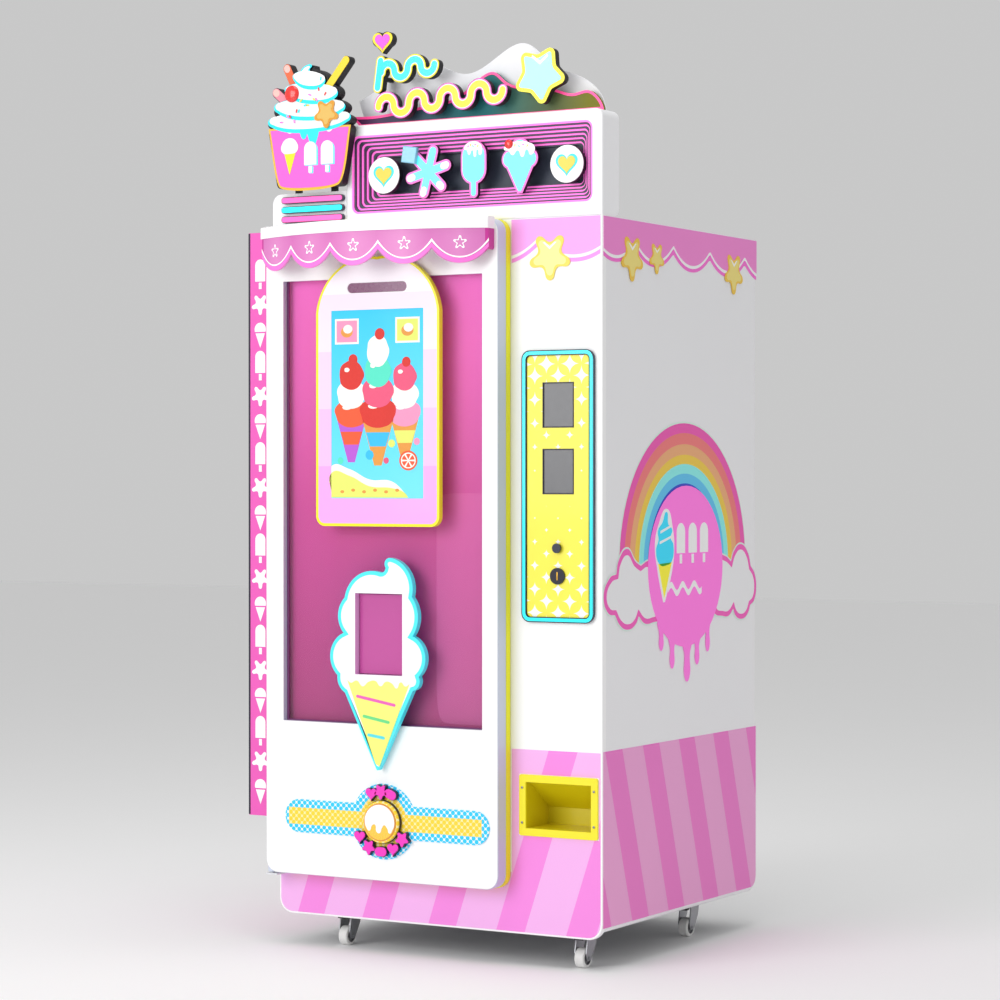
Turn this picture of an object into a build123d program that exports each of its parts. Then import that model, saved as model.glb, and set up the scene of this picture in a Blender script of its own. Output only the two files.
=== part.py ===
from build123d import *
import math
import os

os.makedirs("parts", exist_ok=True)

# Soft serve vending kiosk, in millimetres. X runs to the customer's right, Y runs from the
# customer to the back, Z is up. The origin is on the floor, in the middle of the whole machine.

# ---- Cabinet
cab_w = 960.0          # over the two side panels
cab_d = 880.0          # front plate to the face of the rear frame
side_lift = 97.0       # floor to the lower edge of the side panels
skirt_drop = 18.0      # the front plate hangs this far below the side panels
plate_t = 18.0         # front plate
side_t = 20.0          # side panels
top_t = 18.0           # roof panel
sheet = 3.0            # steel of the folded panels
rear_t = 18.0          # rear frame and rear door
plate_corner_r = 40.0  # lower corners of the front plate
wing_reach = 99.0      # sign board beyond the left side
awning_reach = 185.0   # front plate to the crest of the awning
rear_reach = 30.0      # rear frame to the grip of the rear handle
fit = 0.05             # radial clearance of pins and shafts in their holes
gap = 1.0              # between a panel's edge and what it sits beside

# ---- Front door and what it carries, heights from the side panels' lower edge
door_right_inset = 261.0
door_low_h = 95.0
door_proud = 62.0
door_back_gap = 2.0
door_skin = 3.0
door_corner_r = 35.0
trim_depth = 20.0
window_left_margin = 55.0
window_right_margin = 45.0
window_low_h = 491.0
pane_recess = 20.0
pane_t = 4.0
backdrop_t = 4.0
cone_low_h = 380.0
cone_h = 537.0
screen_gap = 79.0      # cone frame to screen
screen_w = 370.0
screen_h = 682.0
head_room = 86.0       # screen to the top of the cabinet
display_w = 276.0
display_h = 478.0
panel_stand = 86.0     # face of the screen and the cone frame, ahead of the front plate
panel_t = 16.0
port_w = 141.0
port_h = 206.0

side_h = cone_low_h + cone_h + screen_gap + screen_h + head_room

# ---- Header sign box
header_over = 20.0     # beyond the cabinet's left side
header_h = 262.0
header_d = 86.0
low_box_w = 229.0
low_box_h = 96.0

# ---- Casters
wheel_r = 25.0
wheel_w = 26.0
caster_h = 94.0
caster_trail = 16.0
caster_right_inset = 82.0
caster_left_inset = 178.0
caster_front_inset = 68.0
caster_rear_inset = 242.0

# ---- Reference planes
right_x = (wing_reach + cab_w) / 2
left_x = right_x - cab_w
front_y = (awning_reach - cab_d - rear_reach) / 2
back_y = front_y + cab_d
inner_left = left_x + side_t
inner_right = right_x - side_t
inner_front = front_y + plate_t
inner_back = back_y - rear_t


def across(distance):
    """X of a place measured leftwards from the cabinet's right side."""
    return right_x - distance


def deep(distance):
    """Y of a place measured back from the face of the front plate."""
    return front_y + distance


def up(height):
    """Z of a place measured up from the side panels' lower edge."""
    return side_lift + height


def facing(y):
    """A plane at depth y that faces the customer: sketches on it use X and Z."""
    return Plane.XZ.offset(-y)


def slab(x0, x1, y0, y1, z0, z1, mode=Mode.ADD):
    """A rectangular block between two corners, in the part that is being built."""
    with Locations(((x0 + x1) / 2, (y0 + y1) / 2, (z0 + z1) / 2)):
        Box(x1 - x0, y1 - y0, z1 - z0, mode=mode)


def round_slab(x0, x1, z0, z1, y0, y1, radius, mode=Mode.ADD):
    """A plate from y0 back to y1, with rounded corners as seen by the customer."""
    with BuildSketch(facing(y1)) as outline:
        with Locations(((x0 + x1) / 2, (z0 + z1) / 2)):
            RectangleRounded(x1 - x0, z1 - z0, radius)
    extrude(outline.sketch, amount=y1 - y0, mode=mode)


def rod_y(x, z, y0, y1, radius, mode=Mode.ADD):
    """A round bar or hole that runs front to back."""
    with Locations(Location((x, (y0 + y1) / 2, z), (90, 0, 0))):
        Cylinder(radius, y1 - y0, mode=mode)


def rod_x(y, z, x0, x1, radius, mode=Mode.ADD):
    """A round bar or hole that runs left to right."""
    with Locations(Location(((x0 + x1) / 2, y, z), (0, 90, 0))):
        Cylinder(radius, x1 - x0, mode=mode)


def rod_z(x, y, z0, z1, radius, mode=Mode.ADD):
    """An upright round bar or hole."""
    with Locations((x, y, (z0 + z1) / 2)):
        Cylinder(radius, z1 - z0, mode=mode)


top_z = up(side_h)
base_low = caster_h
base_h = 40.0
base_top = base_low + base_h

door_x0 = left_x
door_x1 = across(door_right_inset)
door_z0 = up(door_low_h)
door_z1 = top_z + 1.0
door_face = deep(-door_proud)
door_back = deep(-door_back_gap)
shell_back = door_back - trim_depth
win_x0 = door_x0 + window_left_margin
win_x1 = door_x1 - window_right_margin
win_z0 = up(window_low_h)
win_z1 = top_z - 137.0
port_x = (win_x0 + win_x1) / 2 + 6.0
port_z0 = up(cone_low_h) + 240.0
port_z1 = port_z0 + port_h
port_mid = port_x + 3.0

# ---- Base frame: an inverted steel pan with a boxed pad over each caster
wall = 4.0
pad = 96.0
caster_xs = {"left": left_x + caster_left_inset, "right": across(caster_right_inset)}
caster_ys = {"front": deep(caster_front_inset), "rear": back_y - caster_rear_inset}
caster_spots = [(f"{fb}_{lr}", x, y) for fb, y in caster_ys.items() for lr, x in caster_xs.items()]

with BuildPart() as base_frame:
    slab(inner_left, inner_right, inner_front, inner_back, base_low, base_top)
    slab(inner_left + wall, inner_right - wall, inner_front + wall, inner_back - wall,
         base_low - 1, base_top - wall, mode=Mode.SUBTRACT)
    for spot, x, y in caster_spots:
        pad_x0 = max(x - pad / 2, inner_left)
        pad_x1 = min(x + pad / 2, inner_right)
        slab(pad_x0, pad_x1, y - pad / 2, y + pad / 2, base_low, base_top)
base_frame.part.label = "base_frame"
export_step(base_frame.part, "parts/base_frame.step")

# ---- Front plate: the customer's side of the cabinet
bay_x0 = door_x0 + 40.0
bay_x1 = door_x1 - 36.0
bay_z0 = door_z0 + 45.0
bay_z1 = door_z1 - 120.0
tray_x0 = across(233)
tray_x1 = across(11)
tray_z0 = up(229)
tray_z1 = up(381)
tray_mouth_w = 185.0
tray_mouth_h = 115.0
tray_wall = 3.0
tray_depth = 118.0
tray_mid_x = (tray_x0 + tray_x1) / 2
tray_mid_z = (tray_z0 + tray_z1) / 2
pay_x0 = across(224)
pay_x1 = across(20)
pay_z0 = up(761)
pay_z1 = up(1435)
pay_mid_x = (pay_x0 + pay_x1) / 2
module_w = 85.0
module_h = 110.0
module_zs = {"card_reader": up(1299), "code_scanner": up(1134.5)}
button_z = up(945)
lock_z = up(876)
button_stem_r = 7.0
lock_barrel_r = 9.5
slide_gap = 0.4

with BuildPart() as front_panel:
    slab(left_x, right_x, front_y, inner_front, side_lift - skirt_drop, top_z)
    low_corners = front_panel.edges().filter_by(Axis.Y).group_by(Axis.Z)[0]
    fillet(low_corners, plate_corner_r)
    rim = front_panel.faces().sort_by(Axis.Y)[0].edges()
    fillet(rim, 2.5)
    round_slab(left_x + sheet, right_x - sheet, side_lift - skirt_drop + sheet, top_z - sheet,
               front_y + sheet, inner_front + 1, plate_corner_r - sheet, mode=Mode.SUBTRACT)
    round_slab(bay_x0 - sheet, bay_x1 + sheet, bay_z0 - sheet, bay_z1 + sheet, front_y + 1, inner_front, 23)
    slab(tray_x0 + 6, tray_x1 - 6, front_y + 1, inner_front, tray_z0 + 6, tray_z1 - 6)
    slab(pay_x0 + 12, pay_x1 - 12, front_y + 1, inner_front, lock_z - 40, up(1380))
    slab(bay_x1 + 30, bay_x1 + 34, front_y + 1, inner_front, base_top, top_z - 10)
    round_slab(bay_x0, bay_x1, bay_z0, bay_z1, front_y - 1, inner_front + 1, 20, mode=Mode.SUBTRACT)
    slab(tray_mid_x - tray_mouth_w / 2 - tray_wall - gap, tray_mid_x + tray_mouth_w / 2 + tray_wall + gap,
         front_y - 1, inner_front + 1,
         tray_mid_z - tray_mouth_h / 2 - tray_wall - gap, tray_mid_z + tray_mouth_h / 2 + tray_wall + gap,
         mode=Mode.SUBTRACT)
    for module_z in module_zs.values():
        slab(pay_mid_x - module_w / 2, pay_mid_x + module_w / 2, front_y - 1, inner_front + 1,
             module_z - module_h / 2, module_z + module_h / 2, mode=Mode.SUBTRACT)
    rod_y(pay_mid_x, button_z, front_y - 1, inner_front + 1, button_stem_r + slide_gap, mode=Mode.SUBTRACT)
    rod_y(pay_mid_x, lock_z, front_y - 1, inner_front + 1, lock_barrel_r + slide_gap, mode=Mode.SUBTRACT)
front_panel.part.label = "front_panel"
export_step(front_panel.part, "parts/front_panel.step")


# ---- Side panels and roof
def side_panel(x0, x1, outer_x):
    """A side panel with its lower outer edge rolled in and its lower rear corner rounded."""
    with BuildPart() as panel:
        slab(x0, x1, inner_front, back_y, side_lift, top_z)
        rear_corner = panel.edges().filter_by(Axis.X).group_by(Axis.Z)[0].sort_by(Axis.Y)[-1]
        fillet(rear_corner, 34)
        outer_face = panel.faces().filter_by(Axis.X).sort_by(lambda f: abs(f.center().X - outer_x))[0]
        low_edge = outer_face.edges().filter_by(Axis.Y).sort_by(Axis.Z)[0]
        fillet(low_edge, 12)
        skin = sheet if outer_x == x1 else -sheet
        hollow_x = sorted((outer_x - skin, x0 + x1 - outer_x - skin))
        middle = (inner_front + back_y) / 2
        for y0, y1 in ((inner_front + sheet, middle - sheet), (middle + sheet, back_y - 22)):
            slab(hollow_x[0], hollow_x[1], y0, y1, side_lift + 16, top_z - sheet, mode=Mode.SUBTRACT)
    return panel.part


right_side_panel = side_panel(inner_right, right_x, right_x)
right_side_panel.label = "right_side_panel"
export_step(right_side_panel, "parts/right_side_panel.step")

left_side_panel = side_panel(left_x, inner_left, left_x)
left_side_panel.label = "left_side_panel"
export_step(left_side_panel, "parts/left_side_panel.step")

with BuildPart() as top_panel:
    slab(inner_left, inner_right, inner_front, back_y, top_z - top_t, top_z)
    for y0, y1 in ((inner_front + sheet, -sheet), (sheet, inner_back - sheet)):
        slab(inner_left + sheet, inner_right - sheet, y0, y1, top_z - top_t - 1, top_z - sheet, mode=Mode.SUBTRACT)
top_panel.part.label = "top_panel"
export_step(top_panel.part, "parts/top_panel.step")

# ---- Rear frame with lift-off hinge pins, and the rear service door
stile = 40.0
rear_x0 = inner_left + stile
rear_x1 = inner_right - stile
rear_z0 = base_top + 56.0
rear_z1 = top_z - top_t - 60.0
hinge_pin_r = 4.0
knuckle_r = 8.0
knuckle_h = 40.0
rear_hinge_x = rear_x1
rear_hinge_y = back_y + knuckle_r
rear_hinge_zs = [rear_z0 + 200.0, rear_z1 - 200.0]
inlet_x = left_x + 110.0
inlet_z = base_top + 26.0

with BuildPart() as rear_frame:
    slab(inner_left, inner_right, inner_back, back_y, base_low, top_z - top_t)
    slab(rear_x0, rear_x1, inner_back - 1, back_y + 1, rear_z0, rear_z1, mode=Mode.SUBTRACT)
    slab(inlet_x - 24, inlet_x + 24, inner_back - 1, back_y + 1, inlet_z - 12, inlet_z + 12, mode=Mode.SUBTRACT)
    for hinge_z in rear_hinge_zs:
        slab(rear_hinge_x + 1, rear_hinge_x + 26, back_y, back_y + 3, hinge_z - knuckle_h, hinge_z)
        rod_z(rear_hinge_x, rear_hinge_y, hinge_z - knuckle_h, hinge_z, knuckle_r)
        slab(rear_hinge_x, rear_hinge_x + 8, back_y, back_y + 3, hinge_z - knuckle_h, hinge_z)
        rod_z(rear_hinge_x, rear_hinge_y, hinge_z, hinge_z + knuckle_h - 4, hinge_pin_r)
rear_frame.part.label = "rear_frame"
export_step(rear_frame.part, "parts/rear_frame.step")

rear_handle_x = rear_x0 + 55.0
rear_handle_z = (rear_z0 + rear_z1) / 2
spindle_r = 6.0
cam_reach = 62.0       # turned a quarter, it passes behind the frame's stile
vent_count = 9
vent_pitch = 22.0
vent_mid_x = left_x + 300.0

with BuildPart() as rear_door:
    slab(rear_x0 + 2, rear_x1 - 2, inner_back, back_y, rear_z0 + 2, rear_z1 - 2)
    slab(rear_x0 + 22, rear_x1 - 22, inner_back - 1, back_y - 3, rear_z0 + 22, rear_z1 - 22, mode=Mode.SUBTRACT)
    for row in range(vent_count):
        vent_z = rear_z0 + 90.0 + row * vent_pitch
        top_vent_z = rear_z1 - 90.0 - row * vent_pitch
        slab(vent_mid_x - 140, vent_mid_x + 140, inner_back, back_y + 1, vent_z, vent_z + 8, mode=Mode.SUBTRACT)
        slab(vent_mid_x - 140, vent_mid_x + 140, inner_back, back_y + 1, top_vent_z, top_vent_z + 8,
             mode=Mode.SUBTRACT)
    rod_y(rear_handle_x, rear_handle_z, inner_back, back_y, 20)
    rod_y(rear_handle_x, rear_handle_z, inner_back - 1, back_y + 1, spindle_r + fit, mode=Mode.SUBTRACT)
    for hinge_z in rear_hinge_zs:
        low = hinge_z + 0.5
        slab(rear_hinge_x - 26, rear_hinge_x - 2, back_y - 3, back_y + 3, low, low + knuckle_h)
        slab(rear_hinge_x - 8, rear_hinge_x - 1, back_y + 0.5, back_y + 3, low, low + knuckle_h)
        rod_z(rear_hinge_x, rear_hinge_y, low, low + knuckle_h, knuckle_r - 0.5)
        rod_z(rear_hinge_x, rear_hinge_y, low - 1, low + knuckle_h + 1, hinge_pin_r + fit, mode=Mode.SUBTRACT)
rear_door.part.label = "rear_door"
export_step(rear_door.part, "parts/rear_door.step")

with BuildPart() as rear_handle:
    rod_y(rear_handle_x, rear_handle_z, back_y + 0.5, back_y + 14, 17)
    rod_y(rear_handle_x, rear_handle_z, inner_back - 8, back_y + 14, spindle_r)
    round_slab(rear_handle_x - 12, rear_handle_x + 12, rear_handle_z - 110, rear_handle_z + 16,
               back_y + 12, back_y + rear_reach, 11)
    slab(rear_handle_x - 9, rear_handle_x + 9, inner_back - 8, inner_back - 3,
         rear_handle_z - 10, rear_handle_z + cam_reach)
rear_handle.part.label = "rear_handle"
export_step(rear_handle.part, "parts/rear_handle.step")

# ---- Bulkhead between the delivery bay and the machinery
bulkhead_y = deep(230)
bulkhead_t = 2.0
barrel_z = up(800)
barrel_r = 74.0
bore_r = 50.0
barrel_len = 280.0

with BuildPart() as bulkhead:
    slab(inner_left, inner_right, bulkhead_y, bulkhead_y + bulkhead_t, base_top, top_z - top_t)
    rod_y(port_mid, barrel_z, bulkhead_y - 1, bulkhead_y + bulkhead_t + 1, barrel_r + gap, mode=Mode.SUBTRACT)
bulkhead.part.label = "bulkhead"
export_step(bulkhead.part, "parts/bulkhead.step")

# ---- Freezing cylinder, its beater and the drive
barrel_y1 = bulkhead_y + barrel_len
shaft_r = 10.0
drive_y = barrel_y1

with BuildPart() as freezing_cylinder:
    rod_y(port_mid, barrel_z, bulkhead_y, barrel_y1, barrel_r)
    rod_y(port_mid, barrel_z, bulkhead_y - 1, barrel_y1 - 12, bore_r, mode=Mode.SUBTRACT)
    rod_y(port_mid, barrel_z, bulkhead_y, barrel_y1 + 1, shaft_r + fit, mode=Mode.SUBTRACT)
freezing_cylinder.part.label = "freezing_cylinder"
export_step(freezing_cylinder.part, "parts/freezing_cylinder.step")

scraper_count = 3
with BuildPart() as beater:
    rod_y(port_mid, barrel_z, bulkhead_y + 10, drive_y + 18, shaft_r)
    for ring_y in (bulkhead_y + 14, (bulkhead_y + barrel_y1) / 2, barrel_y1 - 26):
        rod_y(port_mid, barrel_z, ring_y, ring_y + 6, bore_r - 6)
    for number in range(scraper_count):
        turn = 2 * math.pi * number / scraper_count
        scraper_x = port_mid + (bore_r - 7) * math.sin(turn)
        scraper_z = barrel_z + (bore_r - 7) * math.cos(turn)
        rod_y(scraper_x, scraper_z, bulkhead_y + 14, barrel_y1 - 20, 4.5)
beater.part.label = "beater"
export_step(beater.part, "parts/beater.step")

with BuildPart() as beater_drive:
    slab(port_mid - 62, port_mid + 62, drive_y, drive_y + 48, barrel_z - 75, barrel_z + 62)
    rod_y(port_mid, barrel_z - 4, drive_y + 48, drive_y + 150, 52)
    slab(port_mid - 30, port_mid + 30, drive_y + 4, drive_y + 44, base_top, barrel_z - 75)
    slab(port_mid - 60, port_mid + 60, drive_y - 20, drive_y + 68, base_top, base_top + 6)
    rod_y(port_mid, barrel_z, drive_y - 1, drive_y + 22, shaft_r + fit, mode=Mode.SUBTRACT)
beater_drive.part.label = "beater_drive"
export_step(beater_drive.part, "parts/beater_drive.step")

# ---- Mix hopper: an open stainless tank that feeds the barrel
tank_w = 230.0
tank_d = 220.0
tank_h = 210.0
tank_wall = 3.0
tank_z = barrel_z + barrel_r + 30.0
tank_y0 = bulkhead_y + bulkhead_t
feed_y = tank_y0 + 60.0
feed_r = 16.0

with BuildPart() as mix_hopper:
    slab(port_mid - tank_w / 2, port_mid + tank_w / 2, tank_y0, tank_y0 + tank_d, tank_z, tank_z + tank_h)
    slab(port_mid - tank_w / 2 + tank_wall, port_mid + tank_w / 2 - tank_wall,
         tank_y0 + tank_wall, tank_y0 + tank_d - tank_wall,
         tank_z + tank_wall, tank_z + tank_h + 1, mode=Mode.SUBTRACT)
    rod_z(port_mid, feed_y, barrel_z + barrel_r - 4, tank_z + 1, feed_r)
    rod_y(port_mid, barrel_z, tank_y0 - 1, tank_y0 + tank_d, barrel_r, mode=Mode.SUBTRACT)
mix_hopper.part.label = "mix_hopper"
export_step(mix_hopper.part, "parts/mix_hopper.step")

# ---- Dispensing head with its draw valve
head_y0 = bulkhead_y - 88.0
nozzle_y = bulkhead_y - 50.0
nozzle_low = barrel_z - 92.0
valve_r = 14.0
valve_lift = 24.0

with BuildPart() as dispense_head:
    slab(port_mid - 70, port_mid + 70, head_y0, bulkhead_y, barrel_z - 70, barrel_z + 78)
    rod_z(port_mid, nozzle_y, nozzle_low, barrel_z - 69, 24)
    rod_z(port_mid, nozzle_y, nozzle_low - 1, barrel_z + 79, valve_r + fit, mode=Mode.SUBTRACT)
dispense_head.part.label = "dispense_head"
export_step(dispense_head.part, "parts/dispense_head.step")

with BuildPart() as draw_valve:
    rod_z(port_mid, nozzle_y, nozzle_low + 8, barrel_z + 100, valve_r)
    rod_z(port_mid, nozzle_y, barrel_z + 84, barrel_z + 112, 22)
draw_valve.part.label = "draw_valve"
export_step(draw_valve.part, "parts/draw_valve.step")

# ---- Cup carriage on two rods, between the nozzle and the port
rail_z = up(560)
rail_r = 6.0
rail_x = 50.0
shelf_t = 4.0
carriage_y = deep(82)
carriage_half = 38.0
carriage_travel = 95.0
rail_y0 = deep(26)

with BuildPart() as carriage_rails:
    slab(port_mid - 78, port_mid + 78, rail_y0, bulkhead_y, rail_z - 34, rail_z - 34 + shelf_t)
    for end_y in (rail_y0, bulkhead_y - 8):
        slab(port_mid - 66, port_mid + 66, end_y, end_y + 8, rail_z - 34, rail_z + 12)
    for side in (-1, 1):
        rod_y(port_mid + side * rail_x, rail_z, rail_y0 + 4, bulkhead_y - 4, rail_r)
carriage_rails.part.label = "carriage_rails"
export_step(carriage_rails.part, "parts/carriage_rails.step")

with BuildPart() as cup_carriage:
    slab(port_mid - 66, port_mid + 66, carriage_y - carriage_half, carriage_y + carriage_half,
         rail_z - 14, rail_z + 26)
    slab(port_mid - rail_x + 14, port_mid + rail_x - 14, carriage_y - carriage_half - 1,
         carriage_y + carriage_half + 1, rail_z - 15, rail_z + 18, mode=Mode.SUBTRACT)
    rod_z(port_mid, carriage_y, rail_z - 1, rail_z + 27, 27, mode=Mode.SUBTRACT)
    for side in (-1, 1):
        rod_y(port_mid + side * rail_x, rail_z, carriage_y - carriage_half - 1,
              carriage_y + carriage_half + 1, rail_r + fit, mode=Mode.SUBTRACT)
cup_carriage.part.label = "cup_carriage"
export_step(cup_carriage.part, "parts/cup_carriage.step")

# ---- Refrigeration: compressor, finned condenser and its fan
compressor_r = 85.0
compressor_x = across(230)
compressor_y = back_y - 300.0

with BuildPart() as compressor:
    rod_z(compressor_x, compressor_y, base_top + 16, base_top + 236, compressor_r)
    fillet(compressor.faces().sort_by(Axis.Z)[-1].edges(), 30)
    slab(compressor_x - 100, compressor_x + 100, compressor_y - 60, compressor_y + 60,
         base_top + 10, base_top + 18)
    for side_x in (-80, 80):
        for side_y in (-42, 42):
            rod_z(compressor_x + side_x, compressor_y + side_y, base_top, base_top + 12, 12)
compressor.part.label = "compressor"
export_step(compressor.part, "parts/compressor.step")

cond_x0 = left_x + 130.0
cond_w = 320.0
cond_h = 320.0
cond_y0 = back_y - 190.0
cond_y1 = back_y - 120.0
fan_x = cond_x0 + cond_w / 2
fan_z = base_top + cond_h / 2 + 6
fan_r = 130.0
fan_shaft_r = 4.0
fin_count = 16

with BuildPart() as condenser:
    slab(cond_x0, cond_x0 + cond_w, cond_y0, cond_y1, base_top, base_top + cond_h + 12)
    fin_pitch = (cond_w - 24) / fin_count
    for number in range(fin_count):
        slot_x = cond_x0 + 12 + (number + 0.25) * fin_pitch
        slab(slot_x, slot_x + fin_pitch / 2, cond_y0 - 1, cond_y0 + 40,
             base_top + 14, base_top + cond_h, mode=Mode.SUBTRACT)
    rod_y(fan_x, fan_z, cond_y0 + 40, cond_y1 + 1, fan_r + 8, mode=Mode.SUBTRACT)
    slab(fan_x - 12, fan_x + 12, cond_y0 + 44, cond_y0 + 50, base_top + 6, base_top + cond_h + 6)
    rod_y(fan_x, fan_z, cond_y0 + 40, cond_y1 - 6, 28)
    rod_y(fan_x, fan_z, cond_y1 - 24, cond_y1 + 1, fan_shaft_r + fit, mode=Mode.SUBTRACT)
condenser.part.label = "condenser"
export_step(condenser.part, "parts/condenser.step")

blade_count = 5
with BuildPart() as fan_rotor:
    rod_y(fan_x, fan_z, cond_y1 + 2, cond_y1 + 34, 32)
    rod_y(fan_x, fan_z, cond_y1 - 20, cond_y1 + 4, fan_shaft_r)
    for number in range(blade_count):
        turn = 360 * number / blade_count
        with Locations(Location((fan_x, cond_y1 + 18, fan_z), (0, turn, 0))):
            with Locations(Location((78, 0, 0), (28, 0, 0))):
                Box(100, 3, 62)
fan_rotor.part.label = "fan_rotor"
export_step(fan_rotor.part, "parts/fan_rotor.step")

with BuildPart() as control_box:
    slab(across(250), across(60), tank_y0, tank_y0 + 90, up(1220), up(1520))
    fillet(control_box.edges().filter_by(Axis.Y), 6)
    slab(across(248), across(62), tank_y0 + 2, tank_y0 + 91, up(1222), up(1518), mode=Mode.SUBTRACT)
    slab(across(240), across(70), tank_y0 + 1, tank_y0 + 20, up(1232), up(1508))
control_box.part.label = "control_box"
export_step(control_box.part, "parts/control_box.step")

# ---- Payment panel
neon_w = 11.0
pay_t = 5.0

with BuildPart() as payment_ring:
    round_slab(pay_x0, pay_x1, pay_z0, pay_z1, deep(-9), front_y, 26)
    round_slab(pay_x0 + neon_w, pay_x1 - neon_w, pay_z0 + neon_w, pay_z1 - neon_w, deep(-10), front_y + 1,
               26 - neon_w, mode=Mode.SUBTRACT)
payment_ring.part.label = "payment_ring"
export_step(payment_ring.part, "parts/payment_ring.step")

plate_gap = 2.5
with BuildPart() as payment_plate:
    round_slab(pay_x0 + neon_w + plate_gap, pay_x1 - neon_w - plate_gap, pay_z0 + neon_w + plate_gap,
               pay_z1 - neon_w - plate_gap, deep(-pay_t), front_y, 12)
    for module_z in module_zs.values():
        slab(pay_mid_x - module_w / 2, pay_mid_x + module_w / 2, deep(-pay_t - 1), front_y + 1,
             module_z - module_h / 2, module_z + module_h / 2, mode=Mode.SUBTRACT)
    rod_y(pay_mid_x, button_z, deep(-pay_t - 1), front_y + 1, button_stem_r + slide_gap, mode=Mode.SUBTRACT)
    rod_y(pay_mid_x, lock_z, deep(-pay_t - 1), front_y + 1, lock_barrel_r + slide_gap, mode=Mode.SUBTRACT)
payment_plate.part.label = "payment_plate"
export_step(payment_plate.part, "parts/payment_plate.step")

with BuildPart() as payment_modules:
    for module_z in module_zs.values():
        slab(pay_mid_x - module_w / 2 + 0.5, pay_mid_x + module_w / 2 - 0.5, deep(-pay_t + 1.5), inner_front,
             module_z - module_h / 2 + 0.5, module_z + module_h / 2 - 0.5)
        slab(pay_mid_x - module_w / 2 - 12, pay_mid_x + module_w / 2 + 12, inner_front, inner_front + 45,
             module_z - module_h / 2 - 8, module_z + module_h / 2 + 8)
payment_modules.part.label = "payment_modules"
export_step(payment_modules.part, "parts/payment_modules.step")

button_travel = 4.0
with BuildPart() as return_button:
    rod_y(pay_mid_x, button_z, deep(-pay_t - 9.5), deep(-pay_t - button_travel - 0.5), 12)
    rod_y(pay_mid_x, button_z, deep(-pay_t - 6), inner_front + 8, button_stem_r)
    rod_y(pay_mid_x, button_z, inner_front + 1, inner_front + 5, 10)
return_button.part.label = "return_button"
export_step(return_button.part, "parts/return_button.step")

with BuildPart() as lock_cylinder:
    rod_y(pay_mid_x, lock_z, deep(-pay_t - 5), deep(-pay_t - 0.5), 20.5)
    rod_y(pay_mid_x, lock_z, deep(-pay_t - 5), inner_front + 8, lock_barrel_r)
    slab(pay_mid_x - 1.4, pay_mid_x + 1.4, deep(-pay_t - 6), deep(-pay_t - 2), lock_z - 8, lock_z + 8,
         mode=Mode.SUBTRACT)
    slab(pay_mid_x - 7, pay_mid_x + 7, inner_front + 4, inner_front + 8, lock_z - 7, lock_z + 34)
lock_cylinder.part.label = "lock_cylinder"
export_step(lock_cylinder.part, "parts/lock_cylinder.step")

# ---- Yellow return tray with a sloping ceiling
mouth_x0 = tray_mid_x - tray_mouth_w / 2
mouth_x1 = tray_mid_x + tray_mouth_w / 2
mouth_z0 = tray_mid_z - tray_mouth_h / 2
mouth_z1 = tray_mid_z + tray_mouth_h / 2

with BuildPart() as tray:
    round_slab(tray_x0, tray_x1, tray_z0, tray_z1, deep(-5), front_y, 6)
    slab(mouth_x0 - tray_wall, mouth_x1 + tray_wall, front_y, deep(tray_depth),
         mouth_z0 - tray_wall, mouth_z1 + tray_wall)
    with BuildSketch(Plane.YZ.offset(mouth_x0)) as hollow:
        with BuildLine():
            Polyline((deep(-6), mouth_z0), (deep(tray_depth - 4), mouth_z0), (deep(tray_depth - 4), mouth_z0 + 42),
                     (deep(14), mouth_z1), (deep(-6), mouth_z1), close=True)
        make_face()
    extrude(amount=tray_mouth_w, mode=Mode.SUBTRACT)
    screw_x = tray_mouth_w / 2 + 9
    for side in (-1, 1):
        for screw_z in (mouth_z0 + 14, mouth_z1 - 14):
            rod_y(tray_mid_x + side * screw_x, screw_z, deep(-7), deep(-4), 3.5)
tray.part.label = "tray"
export_step(tray.part, "parts/tray.step")

# ---- Casters: plate, swivel fork and wheel
plate_h = 4.0
stem_r = 11.0
fork_gap = 1.5
fork_t = 3.0
fork_top = base_low - plate_h - 8.0
axle_r = 4.0

with BuildPart() as caster_plates:
    for spot, x, y in caster_spots:
        slab(x - 34, x + 34, y - 34, y + 34, base_low - plate_h, base_low)
        rod_z(x, y, fork_top + 1, base_low - plate_h, 22)
        rod_z(x, y, fork_top - 8, fork_top + 2, stem_r)
caster_plates.part.label = "caster_plates"
export_step(caster_plates.part, "parts/caster_plates.step")

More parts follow.
